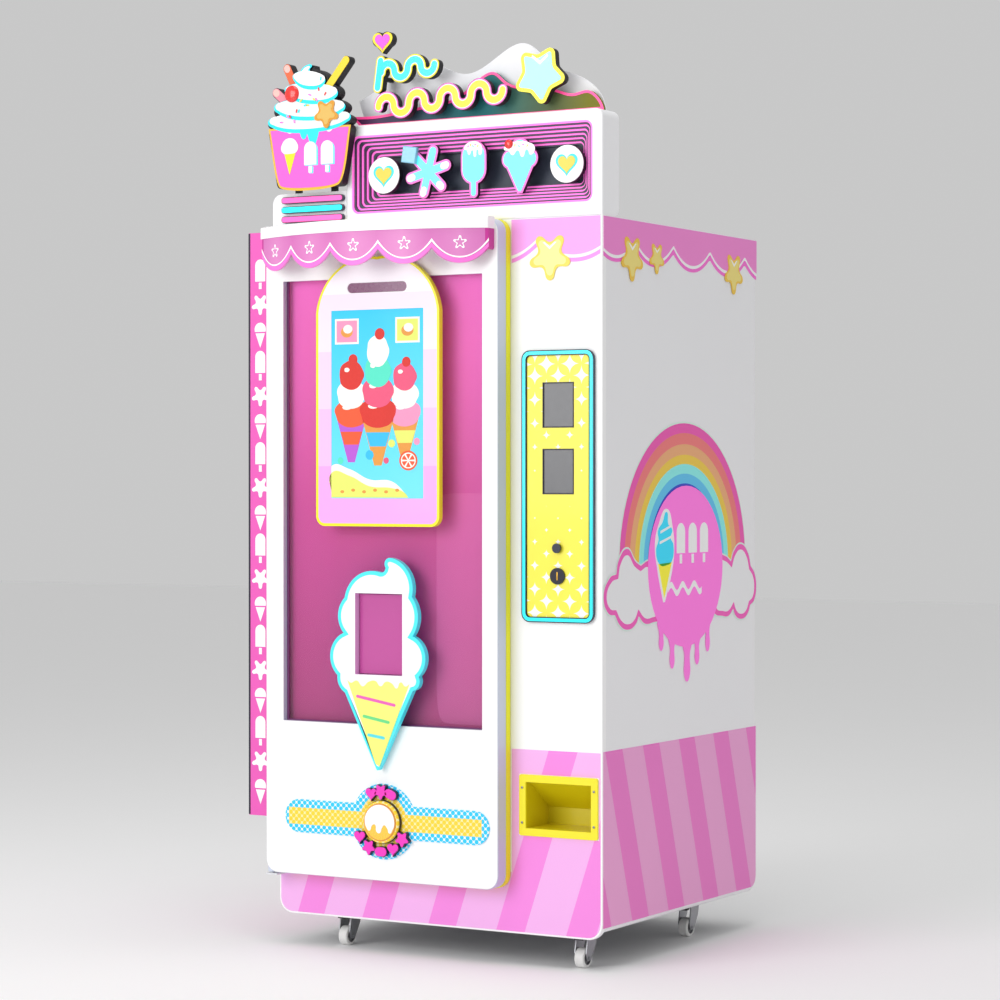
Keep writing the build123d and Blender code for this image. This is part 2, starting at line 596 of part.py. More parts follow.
for spot, x, y in caster_spots:
    wheel_y = y - caster_trail
    cheek_x0 = wheel_w / 2 + fork_gap
    with BuildPart() as fork:
        slab(x - cheek_x0 - fork_t, x + cheek_x0 + fork_t, y - 24, y + 24, fork_top - 6, fork_top)
        for side in (-1, 1):
            cheek_low = x + side * (cheek_x0 + fork_t / 2) - fork_t / 2
            with BuildSketch(Plane.YZ.offset(cheek_low)) as cheek:
                with BuildLine():
                    Polyline((y - 24, fork_top), (y + 24, fork_top), (y + 18, fork_top - 26),
                             (wheel_y + 9, wheel_r - 6), (wheel_y - 9, wheel_r - 6),
                             (wheel_y - 15, wheel_r + 12), (y - 24, fork_top - 14), close=True)
                make_face()
            extrude(cheek.sketch, amount=fork_t)
        rod_z(x, y, fork_top - 9, fork_top + 1, stem_r + fit, mode=Mode.SUBTRACT)
        rod_x(wheel_y, wheel_r, x - cheek_x0 - fork_t - 2, x + cheek_x0 + fork_t + 2, axle_r)
        slab(x - 12, x + 12, y - 41, y - 22, fork_top - 9, fork_top - 4)
    fork.part.label = f"caster_fork_{spot}"
    export_step(fork.part, f"parts/caster_fork_{spot}.step")

    with BuildPart() as wheel:
        rod_x(wheel_y, wheel_r, x - wheel_w / 2, x + wheel_w / 2, wheel_r)
        fillet(wheel.edges().filter_by(GeomType.CIRCLE), 4)
        for side in (-1, 1):
            rod_x(wheel_y, wheel_r, x + side * wheel_w / 2 - 5, x + side * wheel_w / 2 + 5, wheel_r - 8,
                  mode=Mode.SUBTRACT)
        rod_x(wheel_y, wheel_r, x - wheel_w / 2, x + wheel_w / 2, axle_r + 4)
        rod_x(wheel_y, wheel_r, x - wheel_w, x + wheel_w, axle_r + fit, mode=Mode.SUBTRACT)
    wheel.part.label = f"caster_wheel_{spot}"
    export_step(wheel.part, f"parts/caster_wheel_{spot}.step")

# ---- Front door: sheet shell, trim, window, backdrop and hinge
pin_r = 5.0
pin_x = door_x0 + 12.0
pin_y = door_face + 12.0
boss = 11.0
bracket_t = 4.0
pane_y = door_face + pane_recess
backdrop_y = pane_y + pane_t + 10.0

with BuildPart() as door_shell:
    round_slab(door_x0, door_x1, door_z0, door_z1, door_face, shell_back, door_corner_r)
    fillet(door_shell.faces().sort_by(Axis.Y)[0].edges(), 4)
    round_slab(door_x0 + door_skin, door_x1 - door_skin, door_z0 + door_skin, door_z1 - door_skin,
               door_face + door_skin, shell_back + 1, door_corner_r - door_skin, mode=Mode.SUBTRACT)
    round_slab(win_x0 - door_skin, win_x1 + door_skin, win_z0 - door_skin, win_z1 + door_skin,
               door_face + 1, pane_y, 4)
    round_slab(win_x0, win_x1, win_z0, win_z1, door_face - 1, pane_y + 1, 2, mode=Mode.SUBTRACT)
    for boss_low in (door_z0 + 0.5, door_z1 - 0.5 - 26):
        rod_z(pin_x, pin_y, boss_low, boss_low + 26, boss)
    rod_z(pin_x, pin_y, door_z0 - 1, door_z1 + 1, pin_r + fit, mode=Mode.SUBTRACT)
door_shell.part.label = "door_shell"
export_step(door_shell.part, "parts/door_shell.step")

with BuildPart() as door_trim:
    round_slab(door_x0 - 0.5, door_x1 + 1.5, door_z0 - 1, door_z1, shell_back, door_back, door_corner_r)
    round_slab(door_x0 + 16, door_x1 - 16, door_z0 + 16, door_z1 - 16, shell_back - 1, door_back + 1,
               door_corner_r - 16, mode=Mode.SUBTRACT)
door_trim.part.label = "door_trim"
export_step(door_trim.part, "parts/door_trim.step")

with BuildPart() as hinge_brackets:
    for bracket_z, pin_dir in ((door_z0 - 3 - bracket_t, 1), (door_z1 + 2.5, -1)):
        slab(door_x0, door_x0 + 34, door_face + 1, front_y, bracket_z, bracket_z + bracket_t)
        pin_from = bracket_z if pin_dir > 0 else bracket_z - 18
        rod_z(pin_x, pin_y, pin_from, pin_from + bracket_t + 18, pin_r)
hinge_brackets.part.label = "hinge_brackets"
export_step(hinge_brackets.part, "parts/hinge_brackets.step")

sleeve_wall = 3.0
port_x0 = port_mid - port_w / 2
port_x1 = port_mid + port_w / 2
stand_y = deep(-panel_stand + panel_t)
glass_lap = 10.0

with BuildPart() as window_pane:
    round_slab(win_x0 - glass_lap, win_x1 + glass_lap, win_z0 - glass_lap, win_z1 + glass_lap,
               pane_y, pane_y + pane_t, 4)
    slab(port_x0 - sleeve_wall, port_x1 + sleeve_wall, pane_y - 1, pane_y + pane_t + 1,
         port_z0 - sleeve_wall, port_z1 + sleeve_wall, mode=Mode.SUBTRACT)
window_pane.part.label = "window_pane"
export_step(window_pane.part, "parts/window_pane.step")

with BuildPart() as door_backdrop:
    round_slab(door_x0 + door_skin + 14, door_x1 - door_skin - 14, door_z0 + door_skin + 14,
               door_z1 - door_skin - 14, backdrop_y, backdrop_y + backdrop_t, 18)
    slab(port_x0 - sleeve_wall, port_x1 + sleeve_wall, backdrop_y - 1, backdrop_y + backdrop_t + 1,
         port_z0 - sleeve_wall, port_z1 + sleeve_wall, mode=Mode.SUBTRACT)
    rim_w = 6.0
    for rail_x0 in (win_x0 - glass_lap, win_x1 + glass_lap - rim_w):
        slab(rail_x0, rail_x0 + rim_w, pane_y + pane_t, backdrop_y, win_z0 - glass_lap, win_z1 + glass_lap)
    for rail_z0 in (win_z0 - glass_lap, win_z1 + glass_lap - rim_w):
        slab(win_x0 - glass_lap, win_x1 + glass_lap, pane_y + pane_t, backdrop_y, rail_z0, rail_z0 + rim_w)
    for corner_x in (door_x0 + door_skin + 30, door_x1 - door_skin - 30):
        for corner_z in (door_z0 + door_skin + 60, door_z1 - door_skin - 60):
            rod_y(corner_x, corner_z, door_face + door_skin, backdrop_y, 6)
door_backdrop.part.label = "door_backdrop"
export_step(door_backdrop.part, "parts/door_backdrop.step")

# ---- Delivery port: sleeve through the door and a flap hung from its top edge
flap_pin_r = 3.0
flap_pin_z = port_z1 - 4.5
flap_pin_y = stand_y + 4.5
sleeve_back = door_back - 1.0

with BuildPart() as port_sleeve:
    slab(port_x0 - sleeve_wall, port_x1 + sleeve_wall, stand_y, sleeve_back,
         port_z0 - sleeve_wall, port_z1 + sleeve_wall)
    slab(port_x0, port_x1, stand_y - 1, sleeve_back + 1, port_z0, port_z1, mode=Mode.SUBTRACT)
    rod_x(flap_pin_y, flap_pin_z, port_x0 - sleeve_wall - 1, port_x1 + sleeve_wall + 1, flap_pin_r + fit,
          mode=Mode.SUBTRACT)
port_sleeve.part.label = "port_sleeve"
export_step(port_sleeve.part, "parts/port_sleeve.step")

with BuildPart() as pickup_flap:
    slab(port_x0 + gap, port_x1 - gap, flap_pin_y - 2, flap_pin_y + 2, port_z0 + 1.5, flap_pin_z)
    rod_x(flap_pin_y, flap_pin_z, port_x0 - sleeve_wall, port_x1 + sleeve_wall, flap_pin_r)
pickup_flap.part.label = "pickup_flap"
export_step(pickup_flap.part, "parts/pickup_flap.step")


# ---- Cone-shaped frame round the port
cone_z0 = up(cone_low_h)
cone_face = deep(-panel_stand)


def cone_outline(inset=0.0):
    """The soft serve in its cone: straight cone sides, three bulging tiers and a curled tip."""
    with BuildSketch() as outline:
        with BuildLine():
            Line((port_x + 3, cone_z0), (port_x + 105, cone_z0 + 204))
            ThreePointArc((port_x + 105, cone_z0 + 204), (port_x + 124, cone_z0 + 220), (port_x + 122, cone_z0 + 240))
            ThreePointArc((port_x + 122, cone_z0 + 240), (port_x + 142, cone_z0 + 290), (port_x + 104, cone_z0 + 341))
            ThreePointArc((port_x + 104, cone_z0 + 341), (port_x + 120, cone_z0 + 394), (port_x + 102, cone_z0 + 439))
            ThreePointArc((port_x + 102, cone_z0 + 439), (port_x + 92, cone_z0 + 502), (port_x + 38, cone_z0 + 537))
            ThreePointArc((port_x + 38, cone_z0 + 537), (port_x + 24, cone_z0 + 531), (port_x + 24, cone_z0 + 512))
            ThreePointArc((port_x + 24, cone_z0 + 512), (port_x + 20, cone_z0 + 503), (port_x + 8, cone_z0 + 499))
            ThreePointArc((port_x + 8, cone_z0 + 499), (port_x - 82, cone_z0 + 473), (port_x - 100, cone_z0 + 434))
            ThreePointArc((port_x - 100, cone_z0 + 434), (port_x - 120, cone_z0 + 390), (port_x - 103, cone_z0 + 344))
            ThreePointArc((port_x - 103, cone_z0 + 344), (port_x - 144, cone_z0 + 288), (port_x - 122, cone_z0 + 236))
            ThreePointArc((port_x - 122, cone_z0 + 236), (port_x - 118, cone_z0 + 212), (port_x - 99, cone_z0 + 192))
            Line((port_x - 99, cone_z0 + 192), (port_x - 3, cone_z0))
            ThreePointArc((port_x - 3, cone_z0), (port_x, cone_z0 - 1.5), (port_x + 3, cone_z0))
        make_face()
        if inset:
            offset(amount=-inset, kind=Kind.INTERSECTION)
    return facing(0).location * outline.sketch


with BuildPart() as cone_frame:
    extrude(cone_outline().moved(Location((0, stand_y, 0))), amount=panel_t, dir=(0, -1, 0))
    slab(port_x0, port_x1, cone_face - 1, stand_y + 1, port_z0, port_z1, mode=Mode.SUBTRACT)
    for lug_z in (cone_z0 + 60, cone_z0 + 120):
        slab(port_x - 14, port_x + 14, stand_y, door_face, lug_z - 20, lug_z + 20)
cone_frame.part.label = "cone_frame"
export_step(cone_frame.part, "parts/cone_frame.step")

# ---- Screen: arched tub, face plate and portrait display
screen_x0 = port_x - 2 - screen_w / 2
screen_x1 = screen_x0 + screen_w
screen_mid = (screen_x0 + screen_x1) / 2
screen_z0 = cone_z0 + cone_h + screen_gap
screen_z1 = screen_z0 + screen_h
arch_rise = 138.0
tub_rim = 7.0
display_z0 = screen_z0 + 71.0


def arch(inset):
    """The screen's outline: square below with rounded corners, a low arch above."""
    x0 = screen_x0 + inset
    x1 = screen_x1 - inset
    z0 = screen_z0 + inset
    shoulder = screen_z1 - arch_rise
    quarter_x = (x1 - x0) * 0.36
    crown = screen_z1 - inset
    with BuildSketch() as outline:
        with BuildLine():
            Line((x0, shoulder), (x0, z0))
            Line((x0, z0), (x1, z0))
            Line((x1, z0), (x1, shoulder))
            ThreePointArc((x1, shoulder), (x1 - 34, shoulder + arch_rise * 0.58), (screen_mid, crown))
            ThreePointArc((screen_mid, crown), (x0 + 34, shoulder + arch_rise * 0.58), (x0, shoulder))
        make_face()
        fillet(outline.vertices().group_by(Axis.Y)[0], 26 - inset)
    return facing(0).location * outline.sketch


with BuildPart() as screen_tub:
    extrude(arch(0).moved(Location((0, stand_y, 0))), amount=panel_t, dir=(0, -1, 0))
    extrude(arch(tub_rim).moved(Location((0, stand_y - 3, 0))), amount=panel_t, dir=(0, -1, 0),
            mode=Mode.SUBTRACT)
    slab(screen_x0 + 26, screen_x1 - 26, stand_y, pane_y, screen_z0 + 40, screen_z1 - arch_rise)
screen_tub.part.label = "screen_tub"
export_step(screen_tub.part, "parts/screen_tub.step")

pill_w = 178.0
pill_h = 26.0
pill_z = screen_z0 + 605.0
with BuildPart() as screen_face:
    extrude(arch(tub_rim + 0.2).moved(Location((0, stand_y - 3, 0))), amount=panel_t - 3, dir=(0, -1, 0))
    round_slab(screen_mid - display_w / 2 - 0.2, screen_mid + display_w / 2 + 0.2, display_z0 - 0.2,
               display_z0 + display_h + 0.2, cone_face - 1, stand_y - 9, 2, mode=Mode.SUBTRACT)
    with BuildSketch(facing(cone_face + 2)) as pill:
        with Locations((screen_mid, pill_z)):
            SlotOverall(pill_w, pill_h)
    extrude(amount=4, mode=Mode.SUBTRACT)
screen_face.part.label = "screen_face"
export_step(screen_face.part, "parts/screen_face.step")

with BuildPart() as display_panel:
    round_slab(screen_mid - display_w / 2, screen_mid + display_w / 2, display_z0, display_z0 + display_h,
               cone_face + 0.6, stand_y - 9.2, 2)
display_panel.part.label = "display_panel"
export_step(display_panel.part, "parts/display_panel.step")

# ---- Bow-fronted awning bar and its scalloped valance
awning_x0 = door_x0 + 7.0
awning_x1 = door_x1 - 9.0
awning_mid = (awning_x0 + awning_x1) / 2
awning_end_y = deep(-95)
awning_crest_y = deep(-awning_reach)
bar_z0 = top_z - 28.0
bar_z1 = top_z + 2.0
bar_wall = 11.0
half_chord = (awning_x1 - awning_x0) / 2
sagitta = awning_end_y - awning_crest_y
bow_r = (half_chord ** 2 + sagitta ** 2) / (2 * sagitta)
bow_y = awning_crest_y + bow_r
half_angle = math.asin(half_chord / bow_r)


def bow_point(radius, turn):
    """A point of a bow that is concentric with the awning's front."""
    return (awning_mid + radius * math.sin(turn), bow_y - radius * math.cos(turn))


def bow_plan(radius, back, inset=0.0):
    """The awning's plan: a bow in front, short straight ends, and a straight back."""
    reach = half_chord - inset
    turn = math.asin(reach / radius)
    with BuildSketch() as plan:
        with BuildLine():
            ThreePointArc(bow_point(radius, -turn), bow_point(radius, 0), bow_point(radius, turn))
            Polyline(bow_point(radius, turn), (awning_mid + reach, back), (awning_mid - reach, back),
                     bow_point(radius, -turn))
        make_face()
    return plan.sketch


with BuildPart() as awning_bar:
    extrude(bow_plan(bow_r, door_face).moved(Location((0, 0, bar_z0))), amount=bar_z1 - bar_z0)
    fillet(awning_bar.faces().sort_by(Axis.Z)[-1].edges().filter_by(GeomType.CIRCLE), 5)
    extrude(bow_plan(bow_r - bar_wall, door_face - 4, bar_wall).moved(Location((0, 0, bar_z0 - 1))),
            amount=bar_z1 - bar_z0 - 3, mode=Mode.SUBTRACT)
awning_bar.part.label = "awning_bar"
export_step(awning_bar.part, "parts/awning_bar.step")

scallops = 5
cloth_t = 3.0
valance_r = bow_r - 5.0
valley_z = up(1689)
hem_z = up(1650)

with BuildPart() as awning_valance:
    extrude(bow_plan(valance_r, door_face, 1.5).moved(Location((0, 0, hem_z - 5))), amount=bar_z0 - hem_z + 5)
    extrude(bow_plan(valance_r - cloth_t, door_face + 1, 1.5 + cloth_t).moved(Location((0, 0, hem_z - 6))),
            amount=bar_z0 - hem_z + 7, mode=Mode.SUBTRACT)
    edge_turn = math.asin((half_chord - 1.5) / valance_r)
    marks = [bow_point(valance_r, edge_turn * (2 * n / scallops - 1))[0] for n in range(scallops + 1)]
    with BuildSketch(facing(door_face)) as hanging:
        with BuildLine():
            for left, right in zip(marks[:-1], marks[1:]):
                ThreePointArc((left, valley_z), ((left + right) / 2, hem_z), (right, valley_z))
            Polyline((marks[-1], valley_z), (marks[-1] + 9, valley_z), (marks[-1] + 9, bar_z0),
                     (marks[0] - 9, bar_z0), (marks[0] - 9, valley_z), (marks[0], valley_z))
        make_face()
    extrude(hanging.sketch, amount=awning_reach, mode=Mode.INTERSECT)
awning_valance.part.label = "awning_valance"
export_step(awning_valance.part, "parts/awning_valance.step")

# ---- Badge on the lower door: a dotted band with a round medallion and a domed scoop
band_x0 = door_x0 + 64.0
band_x1 = door_x1 - 23.0
band_z = up(247)
band_w = 85.0
medal_r = 96.0
medal_x = (band_x0 + band_x1) / 2 - 5.0
scoop_r = 54.0
badge_t = 4.0

with BuildPart() as badge:
    with BuildSketch(facing(door_face)) as band:
        with Locations(((band_x0 + band_x1) / 2, band_z)):
            SlotOverall(band_x1 - band_x0, band_w)
        with Locations((medal_x, band_z)):
            Circle(medal_r)
    extrude(amount=badge_t)
    rod_y(medal_x, band_z, door_face - badge_t - 16, door_face - badge_t, scoop_r)
    fillet(badge.faces().sort_by(Axis.Y)[0].edges(), 6)
badge.part.label = "badge"
export_step(badge.part, "parts/badge.step")

# ---- Header sign box, stepped light tunnel and neon lines
header_x0 = left_x - header_over
header_z1 = top_z + header_h
main_x0 = header_x0 + low_box_w
recess_x0 = main_x0 + 18.0
recess_x1 = across(28)
recess_z0 = top_z + 34.0
recess_z1 = header_z1 - 28.0
recess_r = 20.0
header_back = deep(header_d)
steps = 6
step = 9.0
tunnel_y = deep(4)
tunnel_floor = tunnel_y + steps * step
tunnel_back = tunnel_floor + 6.0

with BuildPart() as header_housing:
    round_slab(main_x0, right_x, top_z, header_z1, front_y, header_back, 22)
    slab(main_x0, right_x, front_y, header_back, top_z, top_z + 40)
    fillet(header_housing.faces().sort_by(Axis.Y)[0].edges(), 5)
    slab(header_x0, main_x0 + 1, front_y, header_back, top_z, top_z + low_box_h)
    top_left = header_housing.edges().filter_by(Axis.Y).sort_by(lambda e: e.center().X - e.center().Z)[0]
    fillet(top_left, 26)
    rear_low = header_housing.edges().filter_by(Axis.X).group_by(Axis.Z)[0].sort_by(Axis.Y)[-1]
    fillet(rear_low, 24)
    round_slab(recess_x0, recess_x1, recess_z0, recess_z1, front_y - 1, tunnel_back, recess_r,
               mode=Mode.SUBTRACT)
header_housing.part.label = "header_housing"
export_step(header_housing.part, "parts/header_housing.step")

seat_gap = 0.2

with BuildPart() as header_tunnel:
    round_slab(recess_x0 + seat_gap, recess_x1 - seat_gap, recess_z0 + seat_gap, recess_z1 - seat_gap,
               tunnel_y, tunnel_back, recess_r - seat_gap)
    for number in range(1, steps + 1):
        inset = number * step
        round_slab(recess_x0 + inset, recess_x1 - inset, recess_z0 + inset, recess_z1 - inset,
                   tunnel_y - 1, tunnel_y + inset, 16, mode=Mode.SUBTRACT)
header_tunnel.part.label = "header_tunnel"
export_step(header_tunnel.part, "parts/header_tunnel.step")

line_w = 4.6
line_t = 3.0
bar_x0 = header_x0 + 34.0
bar_x1 = main_x0 - 3.0
bar_h = 18.0
bar_t = 11.0
bar_zs = [top_z + 28.0, top_z + 53.0, top_z + 78.0]

with BuildPart() as neon_lines:
    for number in range(steps):
        inset = number * step + 0.4
        line_y = tunnel_y + number * step
        corner = recess_r - 0.4 if number == 0 else 15.6
        round_slab(recess_x0 + inset, recess_x1 - inset, recess_z0 + inset, recess_z1 - inset,
                   line_y - line_t, line_y, corner)
        round_slab(recess_x0 + inset + line_w, recess_x1 - inset - line_w, recess_z0 + inset + line_w,
                   recess_z1 - inset - line_w, line_y - line_t - 1, line_y + 1, corner - line_w,
                   mode=Mode.SUBTRACT)
    for neon_z in bar_zs:
        with BuildSketch(facing(front_y)) as pill_bar:
            with Locations(((bar_x0 + bar_x1) / 2, neon_z)):
                SlotOverall(bar_x1 - bar_x0, bar_h)
        extrude(pill_bar.sketch, amount=bar_t)
neon_lines.part.label = "neon_lines"
export_step(neon_lines.part, "parts/neon_lines.step")

# ---- Header ornaments: two heart discs and three frozen-treat icons on stand-offs
icon_run = (recess_z1 - recess_z0) / 200.0    # the ornaments keep their share of the recess height
disc_r = 47.0 * icon_run
disc_spots = [recess_x0 + 93.0, recess_x1 - 76.0]
icon_mid_z = (recess_z0 + recess_z1) / 2 - 2.0
disc_z = (recess_z0 + recess_z1) / 2 - 4.0
icon_gap = (disc_spots[1] - disc_spots[0]) / 4
icon_xs = [disc_spots[0] + icon_gap * n for n in (1, 2, 3)]
icon_y0 = deep(8)
icon_y1 = deep(20)

with BuildPart() as header_icons:
    for disc_x in disc_spots:
        rod_y(disc_x, disc_z, deep(9), deep(23), disc_r)
        rod_y(disc_x, disc_z, deep(22), tunnel_floor, 6)
    with BuildSketch(facing(icon_y1)) as icons:
        for arm in range(3):
            with Locations(Location((icon_xs[0], icon_mid_z, 0), (0, 0, 60 * arm + 15))):
                SlotOverall(138 * icon_run, 30 * icon_run)
        with Locations((icon_xs[1], icon_mid_z + 16 * icon_run)):
            SlotOverall(110 * icon_run, 74 * icon_run, rotation=90)
        with Locations((icon_xs[1], icon_mid_z - 47 * icon_run)):
            SlotOverall(52 * icon_run, 24 * icon_run, rotation=90)
        with Locations((icon_xs[2], icon_mid_z + 42 * icon_run)):
            Circle(28 * icon_run)
        with Locations((icon_xs[2], icon_mid_z + 18 * icon_run)):
            SlotOverall(104 * icon_run, 50 * icon_run)
        with BuildLine():
            Polyline((icon_xs[2] - 44 * icon_run, icon_mid_z + 8 * icon_run),
                     (icon_xs[2] + 44 * icon_run, icon_mid_z + 8 * icon_run),
                     (icon_xs[2] + 7 * icon_run, icon_mid_z - 68 * icon_run),
                     (icon_xs[2] - 7 * icon_run, icon_mid_z - 68 * icon_run), close=True)
        make_face()
    extrude(amount=icon_y1 - icon_y0)
    for icon_x in icon_xs:
        rod_y(icon_x, icon_mid_z + 10, icon_y1 - 1, tunnel_floor, 7)
header_icons.part.label = "header_icons"
export_step(header_icons.part, "parts/header_icons.step")

# ---- Sundae cup sign, on a mast that stands on the low end of the header
cup_y0 = deep(-35)
cup_y1 = deep(-9)
cup_x = main_x0 - 90.0
cup_z = top_z + 106.0
mast_y = deep(12)

with BuildPart() as cup_sign:
    with BuildSketch(facing(cup_y1)) as cup:
        with BuildLine():
            Polyline((cup_x - 100, cup_z), (cup_x + 100, cup_z), (cup_x + 130, cup_z + 158),
                     (cup_x - 130, cup_z + 158), close=True)
        make_face()
        fillet(cup.vertices(), 14)
        with Locations((cup_x, cup_z + 168)):
            Ellipse(130, 30)
        with Locations((cup_x + 2, cup_z + 200)):
            Ellipse(113, 34)
        with Locations((cup_x + 8, cup_z + 240)):
            Ellipse(86, 34)
        with Locations((cup_x + 4, cup_z + 275)):
            Ellipse(54, 30)
        with BuildLine():
            Polyline((cup_x - 36, cup_z + 280), (cup_x - 4, cup_z + 316), (cup_x + 14, cup_z + 314),
                     (cup_x + 22, cup_z + 284), close=True)
        make_face()
        with Locations(Location((cup_x + 84, cup_z + 286, 0), (0, 0, 50))):
            SlotOverall(112, 22)
        with Locations(Location((cup_x - 58, cup_z + 288, 0), (0, 0, 116))):
            SlotOverall(76, 24)
        with Locations(Location((cup_x - 86, cup_z + 236, 0), (0, 0, 140))):
            SlotOverall(70, 26)
    extrude(amount=cup_y1 - cup_y0)
    for mast_x in (cup_x - 62, cup_x + 50):
        slab(mast_x - 9, mast_x + 9, mast_y - 8, mast_y, top_z + low_box_h, cup_z + 150)
        slab(mast_x - 9, mast_x + 9, cup_y1 - 1, mast_y - 7, cup_z + 60, cup_z + 90)
cup_sign.part.label = "cup_sign"
export_step(cup_sign.part, "parts/cup_sign.step")

# ---- Boards and piped-cream signs along the top of the header
cloud_y0 = deep(60)
cloud_y1 = deep(66)
wave_y0 = deep(38)
wave_y1 = deep(48)
sign_y0 = front_y
sign_y1 = deep(20)
board_w = 751.0        # the boards' curves are drawn for this width and stretched to the box's
board_run = (right_x - main_x0) / board_w

with BuildPart() as cloud_board:
    with BuildSketch(facing(cloud_y1)) as cloud:
        with BuildLine():
            Spline((main_x0 + 2 * board_run, header_z1 + 70),
                   (main_x0 + 90 * board_run, header_z1 + 118),
                   (main_x0 + 185 * board_run, header_z1 + 165),
                   (main_x0 + 333 * board_run, header_z1 + 119),
                   (main_x0 + 499 * board_run, header_z1 + 183),
                   (main_x0 + 585 * board_run, header_z1 + 118),
                   (main_x0 + 640 * board_run, header_z1 + 96),
                   (main_x0 + 700 * board_run, header_z1 + 58), (right_x - 24, header_z1 - 2))
            Polyline((right_x - 24, header_z1 - 2), (right_x - 24, header_z1 - 12),
                     (main_x0 + 26 * board_run, header_z1 - 12),
                     (main_x0 + 26 * board_run, header_z1 - 2), (main_x0 + 2 * board_run, header_z1 + 70))
        make_face()
    extrude(amount=cloud_y1 - cloud_y0)
    slab(main_x0 - 2, right_x + 2, cloud_y0 - 1, cloud_y1 + 1, header_z1 - 14, header_z1, mode=Mode.SUBTRACT)
cloud_board.part.label = "cloud_board"
export_step(cloud_board.part, "parts/cloud_board.step")

with BuildPart() as wave_board:
    with BuildSketch(facing(wave_y1)) as wave:
        with BuildLine():
            Spline((main_x0 - 8, header_z1 + 29), (main_x0 + 60 * board_run, header_z1 + 26),
                   (main_x0 + 200 * board_run, header_z1 + 40),
                   (main_x0 + 320 * board_run, header_z1 + 62),
                   (main_x0 + 378 * board_run, header_z1 + 101),
                   (main_x0 + 420 * board_run, header_z1 + 114),
                   (main_x0 + 455 * board_run, header_z1 + 88),
                   (main_x0 + 500 * board_run, header_z1 + 72), (main_x0 + 600 * board_run, header_z1 + 58),
                   (main_x0 + 650 * board_run, header_z1 + 45), (main_x0 + 690 * board_run, header_z1 + 50),
                   (main_x0 + 716 * board_run, header_z1 + 34), (right_x - 16, header_z1 - 6))
            Polyline((right_x - 16, header_z1 - 6), (main_x0 + 26 * board_run, header_z1 - 6),
                     (main_x0 - 8, header_z1 + 29))
        make_face()
    extrude(amount=wave_y1 - wave_y0)
    slab(main_x0 - 12, right_x + 2, wave_y0 - 1, wave_y1 + 1, header_z1 - 8, header_z1, mode=Mode.SUBTRACT)
wave_board.part.label = "wave_board"
export_step(wave_board.part, "parts/wave_board.step")


rope = 28.0


def piped_wave(x0, z0, radius, humps, rise):
    """A rope of half-round turns, like a piped border of cream, in the part that is being built."""
    with BuildSketch(facing(sign_y1)) as run:
        for number in range(humps):
            x = x0 + (2 * number + 1) * radius
            z = z0 + rise * number
            way = -1 if number % 2 else 1
            outer = radius + rope / 2
            inner = radius - rope / 2
            with BuildLine():
                ThreePointArc((x - outer, z), (x, z + way * outer), (x + outer, z))
                Line((x + outer, z), (x + inner, z))
                ThreePointArc((x + inner, z), (x, z + way * inner), (x - inner, z))
                Line((x - inner, z), (x - outer, z))
            make_face()
            with Locations((x - radius, z), (x + radius, z)):
                Circle(rope / 2)
    extrude(run.sketch, amount=sign_y1 - sign_y0)


with BuildPart() as top_signs:
    piped_wave(main_x0 + 108, header_z1 + 132, 20, 4, 2.5)
    piped_wave(main_x0 + 100, header_z1 + 44, 23, 8, 2.5)
    with BuildSketch(facing(sign_y1)) as signs:
        with Locations(Location((main_x0 + 102, header_z1 + 126, 0), (0, 0, 82))):
            SlotOverall(96, rope)
        with Locations(Location((main_x0 + 112, header_z1 + 203, 0), (0, 0, 45))):
            Rectangle(34, 34)
        with Locations((main_x0 + 100, header_z1 + 215), (main_x0 + 124, header_z1 + 215)):
            Circle(19)
    extrude(signs.sketch, amount=sign_y1 - sign_y0)
    for foot_x in (main_x0 + 146, main_x0 + 238, main_x0 + 330):
        foot_z = header_z1 + 42 + (foot_x - main_x0 - 100) * 0.04
        slab(foot_x - 6, foot_x + 6, sign_y1 - 1, wave_y0, foot_z - 26, foot_z - 18)
    slab(main_x0 + 96, main_x0 + 108, sign_y1 - 1, cloud_y0, header_z1 + 112, header_z1 + 122)
top_signs.part.label = "top_signs"
export_step(top_signs.part, "parts/top_signs.step")

star_x = across(177)
star_z = header_z1 + 92.0
with BuildPart() as star_sign:
    tips = 5
    outline_points = []
    for number in range(2 * tips):
        reach = 84.0 if number % 2 == 0 else 50.0
        turn = math.radians(-84 + number * 180 / tips)
        outline_points.append((star_x + reach * math.cos(turn), star_z + reach * math.sin(turn)))
    with BuildSketch(facing(sign_y1)) as star:
        with BuildLine():
            Polyline(*outline_points, close=True)
        make_face()
        fillet(star.vertices(), 15)
    extrude(amount=sign_y1 - sign_y0)
    slab(star_x - 8, star_x + 8, sign_y1 - 1, wave_y0, star_z - 52, star_z - 42)
star_sign.part.label = "star_sign"
export_step(star_sign.part, "parts/star_sign.step")

# ---- Wing sign board beside the cabinet, on two tabs
wing_x0 = left_x - wing_reach
wing_z0 = up(231)
wing_z1 = top_z - 1.0
wing_t = 16.0
with BuildPart() as wing_board:
    slab(wing_x0, left_x - 1.5, front_y, deep(wing_t), wing_z0, wing_z1)
    fillet(wing_board.edges().filter_by(Axis.Z), 3)
    for tab_z in (wing_z0 + 180, wing_z1 - 240):
        slab(wing_x0 + 20, left_x, deep(wing_t) - 1, deep(wing_t + 12), tab_z, tab_z + 60)
        slab(left_x - 4, left_x, deep(wing_t), deep(wing_t + 70), tab_z, tab_z + 60)
wing_board.part.label = "wing_board"
export_step(wing_board.part, "parts/wing_board.step")
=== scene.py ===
import bmesh
import bpy
import math
from mathutils import Matrix, Vector


